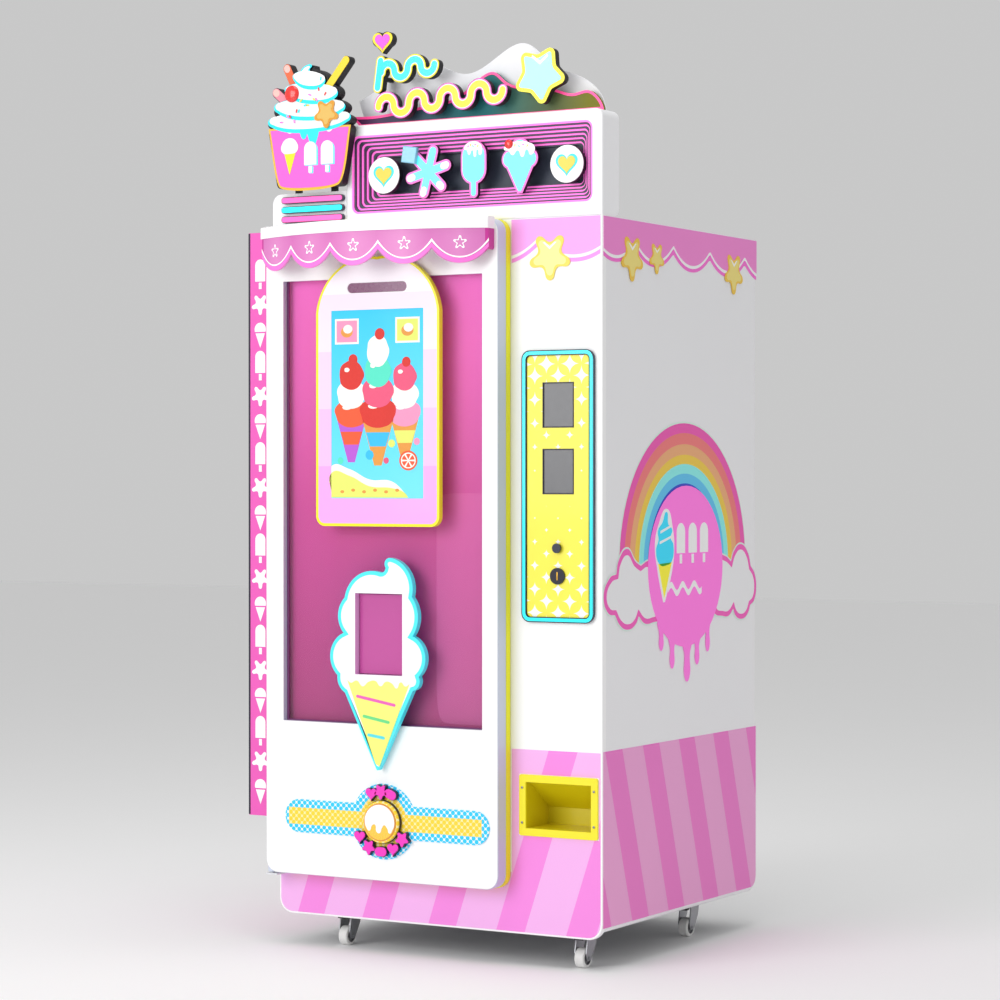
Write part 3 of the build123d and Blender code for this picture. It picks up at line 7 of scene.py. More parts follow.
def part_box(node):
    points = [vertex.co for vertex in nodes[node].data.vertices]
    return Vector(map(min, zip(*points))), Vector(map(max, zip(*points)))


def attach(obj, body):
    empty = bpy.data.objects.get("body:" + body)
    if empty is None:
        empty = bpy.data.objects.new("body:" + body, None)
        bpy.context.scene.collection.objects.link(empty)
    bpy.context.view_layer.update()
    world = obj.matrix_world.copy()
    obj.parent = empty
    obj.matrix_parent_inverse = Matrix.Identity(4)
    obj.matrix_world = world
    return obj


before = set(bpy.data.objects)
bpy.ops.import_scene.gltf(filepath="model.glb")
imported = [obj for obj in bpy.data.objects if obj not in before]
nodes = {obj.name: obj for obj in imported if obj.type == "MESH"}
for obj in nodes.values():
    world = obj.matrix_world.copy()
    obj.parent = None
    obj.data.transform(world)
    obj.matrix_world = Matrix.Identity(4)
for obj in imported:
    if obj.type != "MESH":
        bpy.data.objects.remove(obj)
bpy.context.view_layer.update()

# ---- Casters.
# Four bought-in swivel casters: zinc-plated pressed forks, white nylon tyres on grey hubs, and a black nylon
# pad pushed on to each brake pedal.


def tint(red, green, blue):
    """A screen colour, 0 to 255, as the linear value that a shader takes."""
    parts = [c / 255 for c in (red, green, blue)]
    return tuple(c / 12.92 if c <= 0.04045 else ((c + 0.055) / 1.055) ** 2.4 for c in parts) + (1.0,)


def handled_surface():
    """One shared finish: fine grain, slow patches of tone, and the height that both give to the bump."""
    group = bpy.data.node_groups.new("handled surface", "ShaderNodeTree")
    io = group.interface
    io.new_socket("Colour", in_out="INPUT", socket_type="NodeSocketColor")
    for label in ("Grain", "Mottle", "Rough"):
        io.new_socket(label, in_out="INPUT", socket_type="NodeSocketFloat")
    io.new_socket("Colour", in_out="OUTPUT", socket_type="NodeSocketColor")
    io.new_socket("Roughness", in_out="OUTPUT", socket_type="NodeSocketFloat")
    io.new_socket("Height", in_out="OUTPUT", socket_type="NodeSocketFloat")
    tree = group.nodes
    source = tree.new("NodeGroupInput")
    result = tree.new("NodeGroupOutput")
    place = tree.new("ShaderNodeTexCoord")
    grain = tree.new("ShaderNodeTexNoise")
    grain.inputs["Detail"].default_value = 5.0
    patches = tree.new("ShaderNodeTexNoise")
    patches.inputs["Scale"].default_value = 3.2
    patches.inputs["Detail"].default_value = 3.0
    both = tree.new("ShaderNodeMath")
    both.operation = "MULTIPLY_ADD"
    both.inputs[1].default_value = 0.45
    depth = tree.new("ShaderNodeMath")
    depth.operation = "MULTIPLY"
    darker = tree.new("ShaderNodeMix")
    darker.data_type = "RGBA"
    darker.blend_type = "MULTIPLY"
    darker.inputs[7].default_value = (0.25, 0.22, 0.24, 1.0)
    rough = tree.new("ShaderNodeMath")
    rough.operation = "MULTIPLY_ADD"
    rough.inputs[1].default_value = 0.14
    link = group.links.new
    link(place.outputs["Object"], grain.inputs["Vector"])
    link(place.outputs["Object"], patches.inputs["Vector"])
    link(source.outputs["Grain"], grain.inputs["Scale"])
    link(grain.outputs["Fac"], both.inputs[0])
    link(patches.outputs["Fac"], both.inputs[2])
    link(both.outputs[0], depth.inputs[0])
    link(source.outputs["Mottle"], depth.inputs[1])
    link(depth.outputs[0], darker.inputs[0])
    link(source.outputs["Colour"], darker.inputs[6])
    link(darker.outputs[2], result.inputs["Colour"])
    link(grain.outputs["Fac"], rough.inputs[0])
    link(source.outputs["Rough"], rough.inputs[2])
    link(rough.outputs[0], result.inputs["Roughness"])
    link(both.outputs[0], result.inputs["Height"])
    return group


handled = handled_surface()


def finish(name, colour, rough=0.3, grain=260.0, mottle=0.05, metal=0.0, coat=0.0, relief=0.04, glow=0.0):
    """A material that is one colour with the shared grain over it. Its Colour socket can take a pattern."""
    mat = bpy.data.materials.new(name)
    mat.use_nodes = True
    tree = mat.node_tree
    shader = tree.nodes["Principled BSDF"]
    shader.inputs["Metallic"].default_value = metal
    shader.inputs["Coat Weight"].default_value = coat
    shader.inputs["Coat Roughness"].default_value = 0.08
    surface = tree.nodes.new("ShaderNodeGroup")
    surface.node_tree = handled
    surface.name = "surface"
    surface.inputs["Colour"].default_value = colour
    surface.inputs["Grain"].default_value = grain
    surface.inputs["Mottle"].default_value = mottle
    surface.inputs["Rough"].default_value = rough
    bump = tree.nodes.new("ShaderNodeBump")
    bump.inputs["Strength"].default_value = relief
    bump.inputs["Distance"].default_value = 0.0006
    link = tree.links.new
    link(surface.outputs["Colour"], shader.inputs["Base Color"])
    link(surface.outputs["Roughness"], shader.inputs["Roughness"])
    link(surface.outputs["Height"], bump.inputs["Height"])
    link(bump.outputs["Normal"], shader.inputs["Normal"])
    # glow makes the colour emit light: real light on the light strips, neon bars and display, painted glow on the other
    # parts that use it
    if glow:
        link(surface.outputs["Colour"], shader.inputs["Emission Color"])
        shader.inputs["Emission Strength"].default_value = glow
    return mat


def dress(names, mat):
    """Gives CAD nodes a finish."""
    for name in names:
        slots = nodes[name].data.materials
        slots.clear()
        slots.append(mat)


def math_node(tree, operation, first, second=None, third=None):
    """A maths node whose inputs are sockets or plain numbers; returns its output."""
    node = tree.nodes.new("ShaderNodeMath")
    node.operation = operation
    for number, value in enumerate((first, second, third)):
        if value is None:
            continue
        if isinstance(value, (int, float)):
            node.inputs[number].default_value = value
        else:
            tree.links.new(value, node.inputs[number])
    return node.outputs[0]


def blend_colours(tree, factor, first, second):
    """A colour mix; each colour is a socket or a plain colour."""
    node = tree.nodes.new("ShaderNodeMix")
    node.data_type = "RGBA"
    for socket, value in ((node.inputs[0], factor), (node.inputs[6], first), (node.inputs[7], second)):
        if isinstance(value, (tuple, float)):
            socket.default_value = value
        else:
            tree.links.new(value, socket)
    return node.outputs[2]


def object_axes(tree):
    """The X, Y and Z of the shaded point, in the shared frame."""
    place = tree.nodes.new("ShaderNodeTexCoord")
    split = tree.nodes.new("ShaderNodeSeparateXYZ")
    tree.links.new(place.outputs["Object"], split.inputs[0])
    return split.outputs


def pattern(mat, colour_socket):
    """Feeds a pattern's colour into a finish, under its grain."""
    mat.node_tree.links.new(colour_socket, mat.node_tree.nodes["surface"].inputs["Colour"])


zinc = finish("zinc plate", tint(176, 178, 182), rough=0.32, grain=90, mottle=0.35, metal=0.85, relief=0.1)
corners = [fb + "_" + lr for fb in ("front", "rear") for lr in ("left", "right")]
dress(["caster_fork_" + c for c in corners] + ["caster_plates", "base_frame"], zinc)

black_nylon = finish("black nylon", tint(24, 24, 28), rough=0.45, grain=500, mottle=0.3, relief=0.12)


def fasten(piece, body, mat, angle=35):
    """Gives a new piece its finish and smooth shading, and puts it on its body."""
    piece.data.materials.clear()
    piece.data.materials.append(mat)
    bpy.ops.object.select_all(action="DESELECT")
    piece.select_set(True)
    bpy.context.view_layer.objects.active = piece
    bpy.ops.object.shade_smooth_by_angle(angle=math.radians(angle))
    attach(piece, body)
    return piece


def apply_place(piece):
    """Moves a finished piece's place into its mesh, so that its object sits at the origin."""
    bpy.ops.object.select_all(action="DESELECT")
    piece.select_set(True)
    bpy.context.view_layer.objects.active = piece
    bpy.ops.object.transform_apply(location=True, rotation=True, scale=True)
    return piece


def rounded_block(name, low, high, edge, segments=3):
    """A block between two corners with its edges rolled over."""
    bpy.ops.object.select_all(action="DESELECT")
    bpy.ops.mesh.primitive_cube_add(size=1, location=[(a + b) / 2 for a, b in zip(low, high)])
    block = bpy.context.object
    block.name = name
    block.scale = [b - a for a, b in zip(low, high)]
    apply_place(block)
    roll = block.modifiers.new("edges", "BEVEL")
    roll.width = edge
    roll.segments = segments
    bpy.ops.object.modifier_apply(modifier=roll.name)
    return block


for corner in corners:
    wheel_low, wheel_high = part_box("caster_wheel_" + corner)
    centre = (wheel_low + wheel_high) / 2
    tread = finish("caster wheel " + corner, tint(236, 236, 234), rough=0.38, grain=320, mottle=0.12)
    tree = tread.node_tree
    x, y, z = object_axes(tree)
    dy = math_node(tree, "SUBTRACT", y, centre.y)
    dz = math_node(tree, "SUBTRACT", z, centre.z)
    radius = math_node(tree, "SQRT", math_node(tree, "ADD", math_node(tree, "MULTIPLY", dy, dy),
                                               math_node(tree, "MULTIPLY", dz, dz)))
    is_hub = math_node(tree, "LESS_THAN", radius, 0.0172)
    pattern(tread, blend_colours(tree, is_hub, tint(236, 236, 234), tint(128, 128, 132)))
    dress(["caster_wheel_" + corner], tread)
    fork_low, fork_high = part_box("caster_fork_" + corner)
    pad = rounded_block("brake_pad_" + corner, (centre.x - 0.0135, fork_low.y - 0.001, fork_high.z - 0.0105),
                        (centre.x + 0.0135, fork_low.y + 0.015, fork_high.z - 0.0025), 0.0018)
    fasten(pad, "swivel_" + corner, black_nylon)

# ---- Cabinet panels.
# Folded steel pans in a satin white powder coat, with printed vinyl wrapped over their top and bottom bands.
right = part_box("right_side_panel")[1].x
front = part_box("front_panel")[0].y
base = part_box("right_side_panel")[0].z
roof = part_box("right_side_panel")[1].z
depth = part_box("right_side_panel")[1].y - front

white_coat = finish("white powder coat", tint(246, 246, 248), rough=0.34, grain=900, mottle=0.035, relief=0.05)
dress(["left_side_panel", "right_side_panel", "top_panel", "rear_frame", "rear_door"], white_coat)
front_coat = finish("front powder coat", tint(255, 255, 255), rough=0.3, grain=900, mottle=0.02, relief=0.04)
dress(["front_panel"], front_coat)


def spot(x, y, z):
    """A place in the shared frame, from millimetres behind, above and right of the cabinet's near lower corner."""
    return Vector((right + x / 1000, front + y / 1000, base + z / 1000))


def cut_sheet(name, outlines, level, thickness, side="front", edge=0.0, steps=12):
    """Flat shapes cut from sheet. An outline is a list of (across, up) in millimetres; a third value of 1 rounds
    that corner's run. side says which way the sheet faces, and level how far out its back lies."""
    curve = bpy.data.curves.new(name, "CURVE")
    curve.dimensions = "2D"
    curve.fill_mode = "BOTH"
    curve.resolution_u = steps
    curve.extrude = thickness / 2000
    curve.bevel_depth = edge / 1000
    curve.bevel_resolution = 2
    for outline in outlines:
        spline = curve.splines.new("BEZIER")
        spline.bezier_points.add(len(outline) - 1)
        for knot, corner_spot in zip(spline.bezier_points, outline):
            knot.co = (corner_spot[0] / 1000, corner_spot[1] / 1000, 0)
            kind = "AUTO" if len(corner_spot) > 2 and corner_spot[2] else "VECTOR"
            knot.handle_left_type = kind
            knot.handle_right_type = kind
        spline.use_cyclic_u = True
    piece = bpy.data.objects.new(name, curve)
    bpy.context.scene.collection.objects.link(piece)
    bpy.ops.object.select_all(action="DESELECT")
    piece.select_set(True)
    bpy.context.view_layer.objects.active = piece
    bpy.ops.object.convert(target="MESH")
    piece = bpy.context.object
    out = (level + thickness / 2) / 1000
    origin = spot(0, 0, 0)
    if side == "front":
        turn = Matrix(((1, 0, 0, origin.x), (0, 0, -1, origin.y - out), (0, 1, 0, origin.z), (0, 0, 0, 1)))
    elif side == "right":
        turn = Matrix(((0, 0, 1, origin.x + out), (1, 0, 0, origin.y), (0, 1, 0, origin.z), (0, 0, 0, 1)))
    else:
        turn = Matrix(((0, 0, -1, origin.x - out), (-1, 0, 0, origin.y), (0, 1, 0, origin.z), (0, 0, 0, 1)))
    piece.data.transform(turn)
    piece.data.update()
    return piece


vinyl = 0.5


def scalloped(x0, x1, first_cusp, pitch, low, rise, top, drop=0.0):
    """The outline of a band with a scalloped lower edge, cusps upwards."""
    runs = 90
    lower = []
    for n in range(runs + 1):
        x = x0 + (x1 - x0) * n / runs
        t = ((x - first_cusp) / pitch) % 1.0 * 2 - 1
        lower.append((x, low - drop + rise * abs(t) ** 2.1))
    return lower + [(x1, top), (x0, top)]


band_deep = finish("band deep pink", tint(255, 112, 216), rough=0.35, grain=420, mottle=0.06)
print_white = finish("print white", tint(255, 255, 255), rough=0.35, grain=420, mottle=0.03)
side_pink = finish("side band pink", tint(250, 138, 216), rough=0.35, grain=420, mottle=0.06)
cusp, pitch = 169.5, 211.5
side_top = (roof - base) * 1000 - 3
bands = (("side_band_hem", 1652, 40, 0.0, band_deep), ("side_band_line", 1661, 46, 0.5, print_white),
         ("side_band_main", 1669, 46, 1.0, side_pink))
for name, low, rise, level, mat in bands:
    fasten(cut_sheet(name, [scalloped(4, depth * 1000 - 3, cusp, pitch, low, rise, side_top)], level, vinyl, "right"),
           "cabinet", mat)
    left_outline = [(-y, z) for y, z in scalloped(22, depth * 1000 - 3, cusp, pitch, low, rise, side_top)]
    piece = cut_sheet("left_" + name, [left_outline], 960 + level, vinyl, "left")
    fasten(piece, "cabinet", mat)

front_bands = (("front_band_hem", 1651, 42, 0.0, finish("front hem", tint(255, 150, 244), mottle=0.05)),
               ("front_band_line", 1661, 44, 0.5, print_white),
               ("front_band_main", 1669, 44, 1.0, finish("front band", tint(252, 166, 244), mottle=0.05)))
for name, low, rise, level, mat in front_bands:
    outline = scalloped(-257, -6, -183, 212, low, rise, side_top + 1)
    fasten(cut_sheet(name, [outline], level, vinyl), "cabinet", mat)


def inverted_star(x, z, reach, waist, squeeze=1.0, points=5):
    """A soft five-pointed star with one point down."""
    outline = []
    for n in range(2 * points):
        r = reach if n % 2 == 0 else waist
        turn = math.radians(-90 + 180 * n / points)
        for lean in (-0.10, 0.10):
            outline.append((x + squeeze * r * math.cos(turn + lean), z + r * math.sin(turn + lean), 1))
    return outline


gold_rim = finish("star rim gold", tint(250, 205, 60), rough=0.3, mottle=0.08)
gold_face = finish("star face gold", tint(252, 232, 128), rough=0.3, mottle=0.1)
lemon_rim = finish("star rim lemon", tint(255, 226, 84), rough=0.3, mottle=0.06)
lemon_face = finish("star face lemon", tint(255, 250, 152), rough=0.3, mottle=0.06)
star_spots = (("front_star", -147, 1667, 58, "front", lemon_rim, lemon_face),
              ("side_star_near", 152, 1668, 58, "right", gold_rim, gold_face),
              ("side_star_small", 286, 1676, 40, "right", gold_rim, gold_face),
              ("side_star_far", 734, 1665, 55, "right", gold_rim, gold_face))
for name, x, z, reach, side, rim, face in star_spots:
    fasten(cut_sheet(name + "_rim", [inverted_star(x, z, reach, reach * 0.62)], 1.5, 1.0, side, 0.3),
           "cabinet", rim)
    fasten(cut_sheet(name + "_face", [inverted_star(x, z, reach * 0.8, reach * 0.5)], 2.5, 0.4, side, 0.1),
           "cabinet", face)
    vee = [(x - 0.34 * reach, z + 0.60 * reach), (x, z + 0.30 * reach), (x + 0.34 * reach, z + 0.60 * reach),
           (x + 0.24 * reach, z + 0.62 * reach), (x, z + 0.42 * reach), (x - 0.24 * reach, z + 0.62 * reach)]
    fasten(cut_sheet(name + "_shine", [vee], 2.9, 0.3, side), "cabinet", print_white)

# ---- Skirt.
# The lower band is wrapped in a candy-striped print whose stripes lean towards the near corner on both faces.


def striped(name, axis, lean, shift, light, dark, period=0.2, duty=0.41):
    """A two-tone stripe print along one axis, leaning with height."""
    mat = finish(name, light, rough=0.35, grain=420, mottle=0.05)
    tree = mat.node_tree
    axes = object_axes(tree)
    along = math_node(tree, "MULTIPLY_ADD", axes[2], lean, axes[axis])
    turns = math_node(tree, "FRACT", math_node(tree, "MULTIPLY_ADD", along, 1 / period, shift))
    pattern(mat, blend_colours(tree, math_node(tree, "LESS_THAN", turns, duty), light, dark))
    return mat


def round_box(x0, x1, z0, z1, r, corners_round=(1, 1, 1, 1)):
    """A rectangle's outline with chosen corners rounded: lower left, lower right, upper right, upper left."""
    outline = []
    spots = ((x0, z0, 180), (x1, z0, 270), (x1, z1, 0), (x0, z1, 90))
    for (x, z, start), soft in zip(spots, corners_round):
        if not soft:
            outline.append((x, z))
            continue
        cx = x + (r if x == x0 else -r)
        cz = z + (r if z == z0 else -r)
        for n in range(7):
            turn = math.radians(start + 90 * n / 6)
            outline.append((cx + r * math.cos(turn), cz + r * math.sin(turn)))
    return outline


front_stripes = striped("front skirt print", 0, -0.33, 0.0, tint(250, 184, 244), tint(250, 140, 230))
plinth = round_box(-955, -5, -13, 135, 35, (1, 1, 0, 0))
skirt_outline = plinth[:-2] + [(-5, 443), (-257, 443), (-257, 135), (-955, 135)]
tray_hole = [(-235, 228), (-9, 228), (-9, 382), (-235, 382)]
fasten(cut_sheet("skirt_front", [skirt_outline, tray_hole], 0, 0.25), "cabinet", front_stripes)
side_stripes = striped("side skirt print", 1, 0.33, 0.85, tint(246, 168, 220), tint(246, 124, 208), 0.2, 0.45)
skirt_side = round_box(4, depth * 1000 - 4, 12, 446, 30, (0, 1, 0, 0))
fasten(cut_sheet("skirt_right", [skirt_side], 0, vinyl, "right"), "cabinet", side_stripes)
skirt_left = [(-y, z) for y, z in round_box(90, depth * 1000 - 4, 12, 446, 30, (0, 1, 0, 0))]
fasten(cut_sheet("skirt_left", [skirt_left], 960, vinyl, "left"), "cabinet", side_stripes)

# ---- Rainbow print on the right side.
# Cut vinyl: six colour bands, two outlined clouds, and a pink disc that drips, with a cone and plain shapes on it.
rainbow_y, rainbow_z = 447, 900
rainbow_bands = ((360, 335, tint(250, 84, 186)), (335, 306, tint(252, 126, 126)), (306, 279, tint(248, 180, 124)),
                 (279, 255, tint(252, 212, 64)), (255, 230, tint(146, 250, 246)), (230, 205, tint(92, 205, 252)),
                 (205, 196, tint(20, 60, 210)))


def arch_band(y, z, outer, inner, base_drop=30):
    """A half-ring's outline whose legs run on below its middle."""
    runs = 40
    turns = [math.pi * n / runs for n in range(runs + 1)]
    ring = [(y + outer * math.cos(turn), z + outer * math.sin(turn)) for turn in turns]
    back = [(y + inner * math.cos(turn), z + inner * math.sin(turn)) for turn in reversed(turns)]
    return ([(y + outer, z - base_drop)] + ring + [(y - outer, z - base_drop), (y - inner, z - base_drop)] + back
            + [(y + inner, z - base_drop)])


halo = finish("print halo", tint(226, 246, 236), mottle=0.03)
fasten(cut_sheet("rainbow_halo", [arch_band(rainbow_y, rainbow_z, 365, 190)], 0, 0.3, "right"),
       "cabinet", halo)
for number, (outer, inner, colour) in enumerate(rainbow_bands):
    mat = finish("rainbow band %d" % number, colour, rough=0.36, grain=420, mottle=0.1)
    fasten(cut_sheet("rainbow_%d" % number, [arch_band(rainbow_y, rainbow_z, outer, inner)], 0.3, 0.4, "right"),
           "cabinet", mat)

cloud_pink = finish("cloud line pink", tint(255, 92, 196), rough=0.36, mottle=0.06)
cloud_left = [(250, 900, 1), (199, 893, 0), (170, 905, 1), (128, 936, 1), (86, 910, 1), (74, 876, 0), (40, 868, 1),
              (10, 826, 1), (32, 790, 1), (66, 784, 0), (92, 758, 1), (132, 746, 1), (172, 758, 1), (189, 779, 0),
              (222, 758, 1), (262, 758, 1), (300, 770, 1)]
cloud_right = [(640, 905, 1), (686, 906, 1), (722, 890, 0), (740, 918, 1), (780, 936, 1), (822, 912, 1), (838, 878, 0),
               (862, 858, 1), (872, 826, 1), (860, 792, 1), (836, 780, 0), (818, 756, 1), (782, 746, 1),
               (748, 758, 1), (735, 777, 0), (706, 758, 1), (672, 758, 1), (620, 774, 1)]


def shrink(outline, distance):
    """An outline moved inwards by a distance, whichever way round it runs."""
    count = len(outline)
    area = sum(outline[n][0] * outline[(n + 1) % count][1] - outline[(n + 1) % count][0] * outline[n][1]
               for n in range(count))
    way = 1 if area > 0 else -1
    moved = []
    for n in range(count):
        before = Vector(outline[n - 1][:2])
        here = Vector(outline[n][:2])
        after = Vector(outline[(n + 1) % count][:2])
        first = (here - before).normalized()
        second = (after - here).normalized()
        normal = Vector((-(first.y + second.y), first.x + second.x))
        if normal.length < 1e-6:
            normal = Vector((-first.y, first.x))
        normal.normalize()
        reach = distance / max(0.45, abs(normal.dot(Vector((-first.y, first.x)))))
        spot_in = here + way * reach * normal
        moved.append((spot_in.x, spot_in.y) + tuple(outline[n][2:]))
    return moved


for name, outline in (("cloud_left", cloud_left), ("cloud_right", cloud_right)):
    fasten(cut_sheet(name + "_halo", [shrink(outline, -9)], 0.7, 0.2, "right"), "cabinet", halo)
    fasten(cut_sheet(name + "_line", [shrink(outline, -5)], 0.9, 0.2, "right"), "cabinet", cloud_pink)
    fasten(cut_sheet(name + "_body", [shrink(outline, 8)], 1.1, 0.2, "right"), "cabinet", white_coat)

# The disc print glows faintly: painted light that keeps it bright on the shaded side panel.
disc_pink = finish("disc pink", tint(255, 118, 222), rough=0.36, mottle=0.04, glow=0.12)
disc_y, disc_z, disc_r = 453, 891, 214


def ring_spots(x, z, rx, rz, start=0, end=360, runs=48):
    """Points round an oval, or round a part of it."""
    return [(x + rx * math.cos(math.radians(start + (end - start) * n / runs)),
             z + rz * math.sin(math.radians(start + (end - start) * n / runs))) for n in range(runs + 1)]


fasten(cut_sheet("disc_print", [ring_spots(disc_y, disc_z, disc_r, 208)[:-1]], 1.3, 0.5, "right"),
       "cabinet", disc_pink)
drips = ((313, 679, 11, 760), (374, 630, 11, 720), (459, 592, 15, 700), (517, 633, 11, 720), (579, 664, 10, 760))
for number, (y, low, half, top) in enumerate(drips):
    shape = [(y - half - 8, top, 1), (y - half, top - 40, 1), (y - half, low + half, 1), (y, low, 1),
             (y + half, low + half, 1), (y + half, top - 40, 1), (y + half + 8, top, 1)]
    fasten(cut_sheet("drip_%d" % number, [shape], 1.2, 0.5, "right"), "cabinet", disc_pink)

# These two prints glow faintly: painted light, as the vinyl holds no lamp.
sky_blue = finish("print sky blue", tint(20, 222, 255), mottle=0.05, glow=0.1)
cone_yellow = finish("print cone yellow", tint(255, 246, 30), mottle=0.05, glow=0.08)
cone_halo = [(343, 1040, 1), (376, 990, 1), (384, 930, 1), (372, 880, 1), (332, 802, 0), (322, 802, 0), (290, 884, 1),
             (276, 950, 1), (296, 1000, 1)]
swirl = [(342, 1032, 1), (350, 1002, 1), (372, 985, 1), (364, 966, 1), (379, 948, 1), (372, 908, 1), (340, 896, 1),
         (300, 900, 1), (282, 935, 1), (296, 962, 1), (292, 982, 1), (318, 1006, 1)]
fasten(cut_sheet("side_cone_halo", [cone_halo], 1.8, 0.2, "right"), "cabinet", print_white)
fasten(cut_sheet("side_cone_swirl", [swirl], 2.0, 0.3, "right"), "cabinet", sky_blue)
fasten(cut_sheet("side_cone_wafer", [[(294, 900), (370, 903), (328, 812)]], 2.0, 0.3, "right"),
       "cabinet", cone_yellow)
for number, (z, half) in enumerate(((985, 30), (958, 34))):
    stroke = [(336 - half, z - 8), (336 + half, z + 8), (336 + half, z + 14), (336 - half, z - 1)]
    fasten(cut_sheet("side_cone_fold_%d" % number, [stroke], 2.3, 0.15, "right"),
           "cabinet", print_white)


def pop_shape(x, z, half, height, stick):
    """An ice pop: round-topped body on a stick."""
    body = ring_spots(x, z + height - half, half, half, 0, 180, 12) + [(x - half, z), (x + half, z)]
    handle = [(x - stick / 2, z - height * 0.34), (x + stick / 2, z - height * 0.34), (x + stick / 2, z - 3),
              (x - stick / 2, z - 3)]
    return [body, handle]


fasten(cut_sheet("side_pops", pop_shape(422, 925, 24, 78, 14) + pop_shape(490, 925, 24, 78, 14)
                 + pop_shape(556, 925, 24, 78, 14), 1.8, 0.3, "right"), "cabinet", print_white)
wavy = [(350 + 4 * n, 842 + 11 * math.sin(n * 0.38)) for n in range(49)]
wavy += [(x, z - 16) for x, z in reversed(wavy)]
fasten(cut_sheet("side_wave", [wavy], 1.8, 0.3, "right"), "cabinet", print_white)

# ---- Payment panel.
# A cyan moulded ring round a yellow printed plate, two dark reader windows, a steel return button and a cam lock.
dark_edge = finish("dark edge", tint(26, 22, 48), rough=0.4, mottle=0.2)


def side_darkened(mat, face_y, colour, edge_colour):
    """Paints a part's front face one colour and all that lies behind it another."""
    tree = mat.node_tree
    axes = object_axes(tree)
    pattern(mat, blend_colours(tree, math_node(tree, "GREATER_THAN", axes[1], face_y), colour, edge_colour))
    return mat


ring_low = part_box("payment_ring")[0]
# The ring glows: painted light on the moulding.
ring_mat = finish("payment ring", tint(20, 244, 255), rough=0.25, mottle=0.05, coat=0.3, glow=0.2)
dress(["payment_ring"], side_darkened(ring_mat, ring_low.y + 0.0008, tint(20, 244, 255), tint(24, 30, 60)))

for name, outer, inner in (("outer", (-224, -20, 761, 1435, 22), (-221.6, -22.4, 763.4, 1432.6, 20)),
                           ("inner", (-212.9, -31.1, 772.1, 1423.9, 13), (-210.7, -33.3, 774.3, 1421.7, 11))):
    lines = [round_box(*edge_line) for edge_line in (outer, inner)]
    fasten(cut_sheet("ring_line_" + name, lines, 9.0, 0.4), "cabinet", dark_edge)
plate_low, plate_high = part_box("payment_plate")
plate_mat = finish("payment plate", tint(255, 244, 84), rough=0.3, mottle=0.04, coat=0.2)
tree = plate_mat.node_tree
x, y, z = object_axes(tree)
middle = (plate_low + plate_high) / 2
dx = math_node(tree, "SUBTRACT", x, middle.x)
dz = math_node(tree, "SUBTRACT", z, middle.z - 0.02)
reach = math_node(tree, "MULTIPLY_ADD", math_node(tree, "ABSOLUTE", dz), 0.088, -0.0012)
sparkles = None
for column_shift, row_shift in ((0.5, 0.5), (0.0, 0.0)):
    u = math_node(tree, "ADD", math_node(tree, "DIVIDE", dx, 0.066), column_shift + 0.5)
    v = math_node(tree, "ADD", math_node(tree, "DIVIDE", dz, 0.0586), row_shift + 0.5)
    across_cell = math_node(tree, "MULTIPLY", math_node(tree, "ABSOLUTE", math_node(
        tree, "SUBTRACT", math_node(tree, "FRACT", u), 0.5)), 0.066)
    up_cell = math_node(tree, "MULTIPLY", math_node(tree, "ABSOLUTE", math_node(
        tree, "SUBTRACT", math_node(tree, "FRACT", v), 0.5)), 0.0586)
    total = math_node(tree, "ADD", math_node(tree, "POWER", across_cell, 0.55), math_node(tree, "POWER", up_cell, 0.55))
    limit = math_node(tree, "POWER", math_node(tree, "MAXIMUM", reach, 0.0001), 0.55)
    hit = math_node(tree, "LESS_THAN", total, limit)
    sparkles = hit if sparkles is None else math_node(tree, "MAXIMUM", sparkles, hit)
pattern(plate_mat, blend_colours(tree, sparkles, tint(255, 243, 74), tint(255, 255, 250)))
dress(["payment_plate"], plate_mat)

reader_glass = finish("reader window", tint(62, 62, 68), rough=0.16, grain=60, mottle=0.2, coat=0.6)
dress(["payment_modules"], reader_glass)
for number, z in enumerate((1299, 1134.5)):
    window = [(-163, z - 53.5), (-80, z - 53.5), (-80, z + 53.5), (-163, z + 53.5)]
    frame_line = [(-165.5, z - 56), (-77.5, z - 56), (-77.5, z + 56), (-165.5, z + 56)]
    piece = cut_sheet("reader_frame_%d" % number, [frame_line, window], 5.0, 0.8, edge=0.2)
    fasten(piece, "cabinet", dark_edge)
button_steel = finish("button steel", tint(62, 64, 74), rough=0.22, grain=60, mottle=0.2, metal=0.8)
dress(["return_button"], button_steel)
lock_dark = finish("lock barrel", tint(52, 52, 60), rough=0.25, grain=80, mottle=0.25, metal=0.7)
dress(["lock_cylinder"], lock_dark)
keyway = finish("keyway brass", tint(220, 170, 60), rough=0.3, metal=0.7)
key_slot = rounded_block("keyway", spot(-123.6, -10.4, 866), spot(-120.4, -9.6, 886), 0.0003)
fasten(key_slot, "lock_body", keyway)

# ---- Return tray.
# A yellow moulding: a flange with four screws and a chute with a sloping ceiling.
tray_yellow = finish("tray yellow", tint(255, 240, 24), rough=0.32, grain=380, mottle=0.08, coat=0.2)
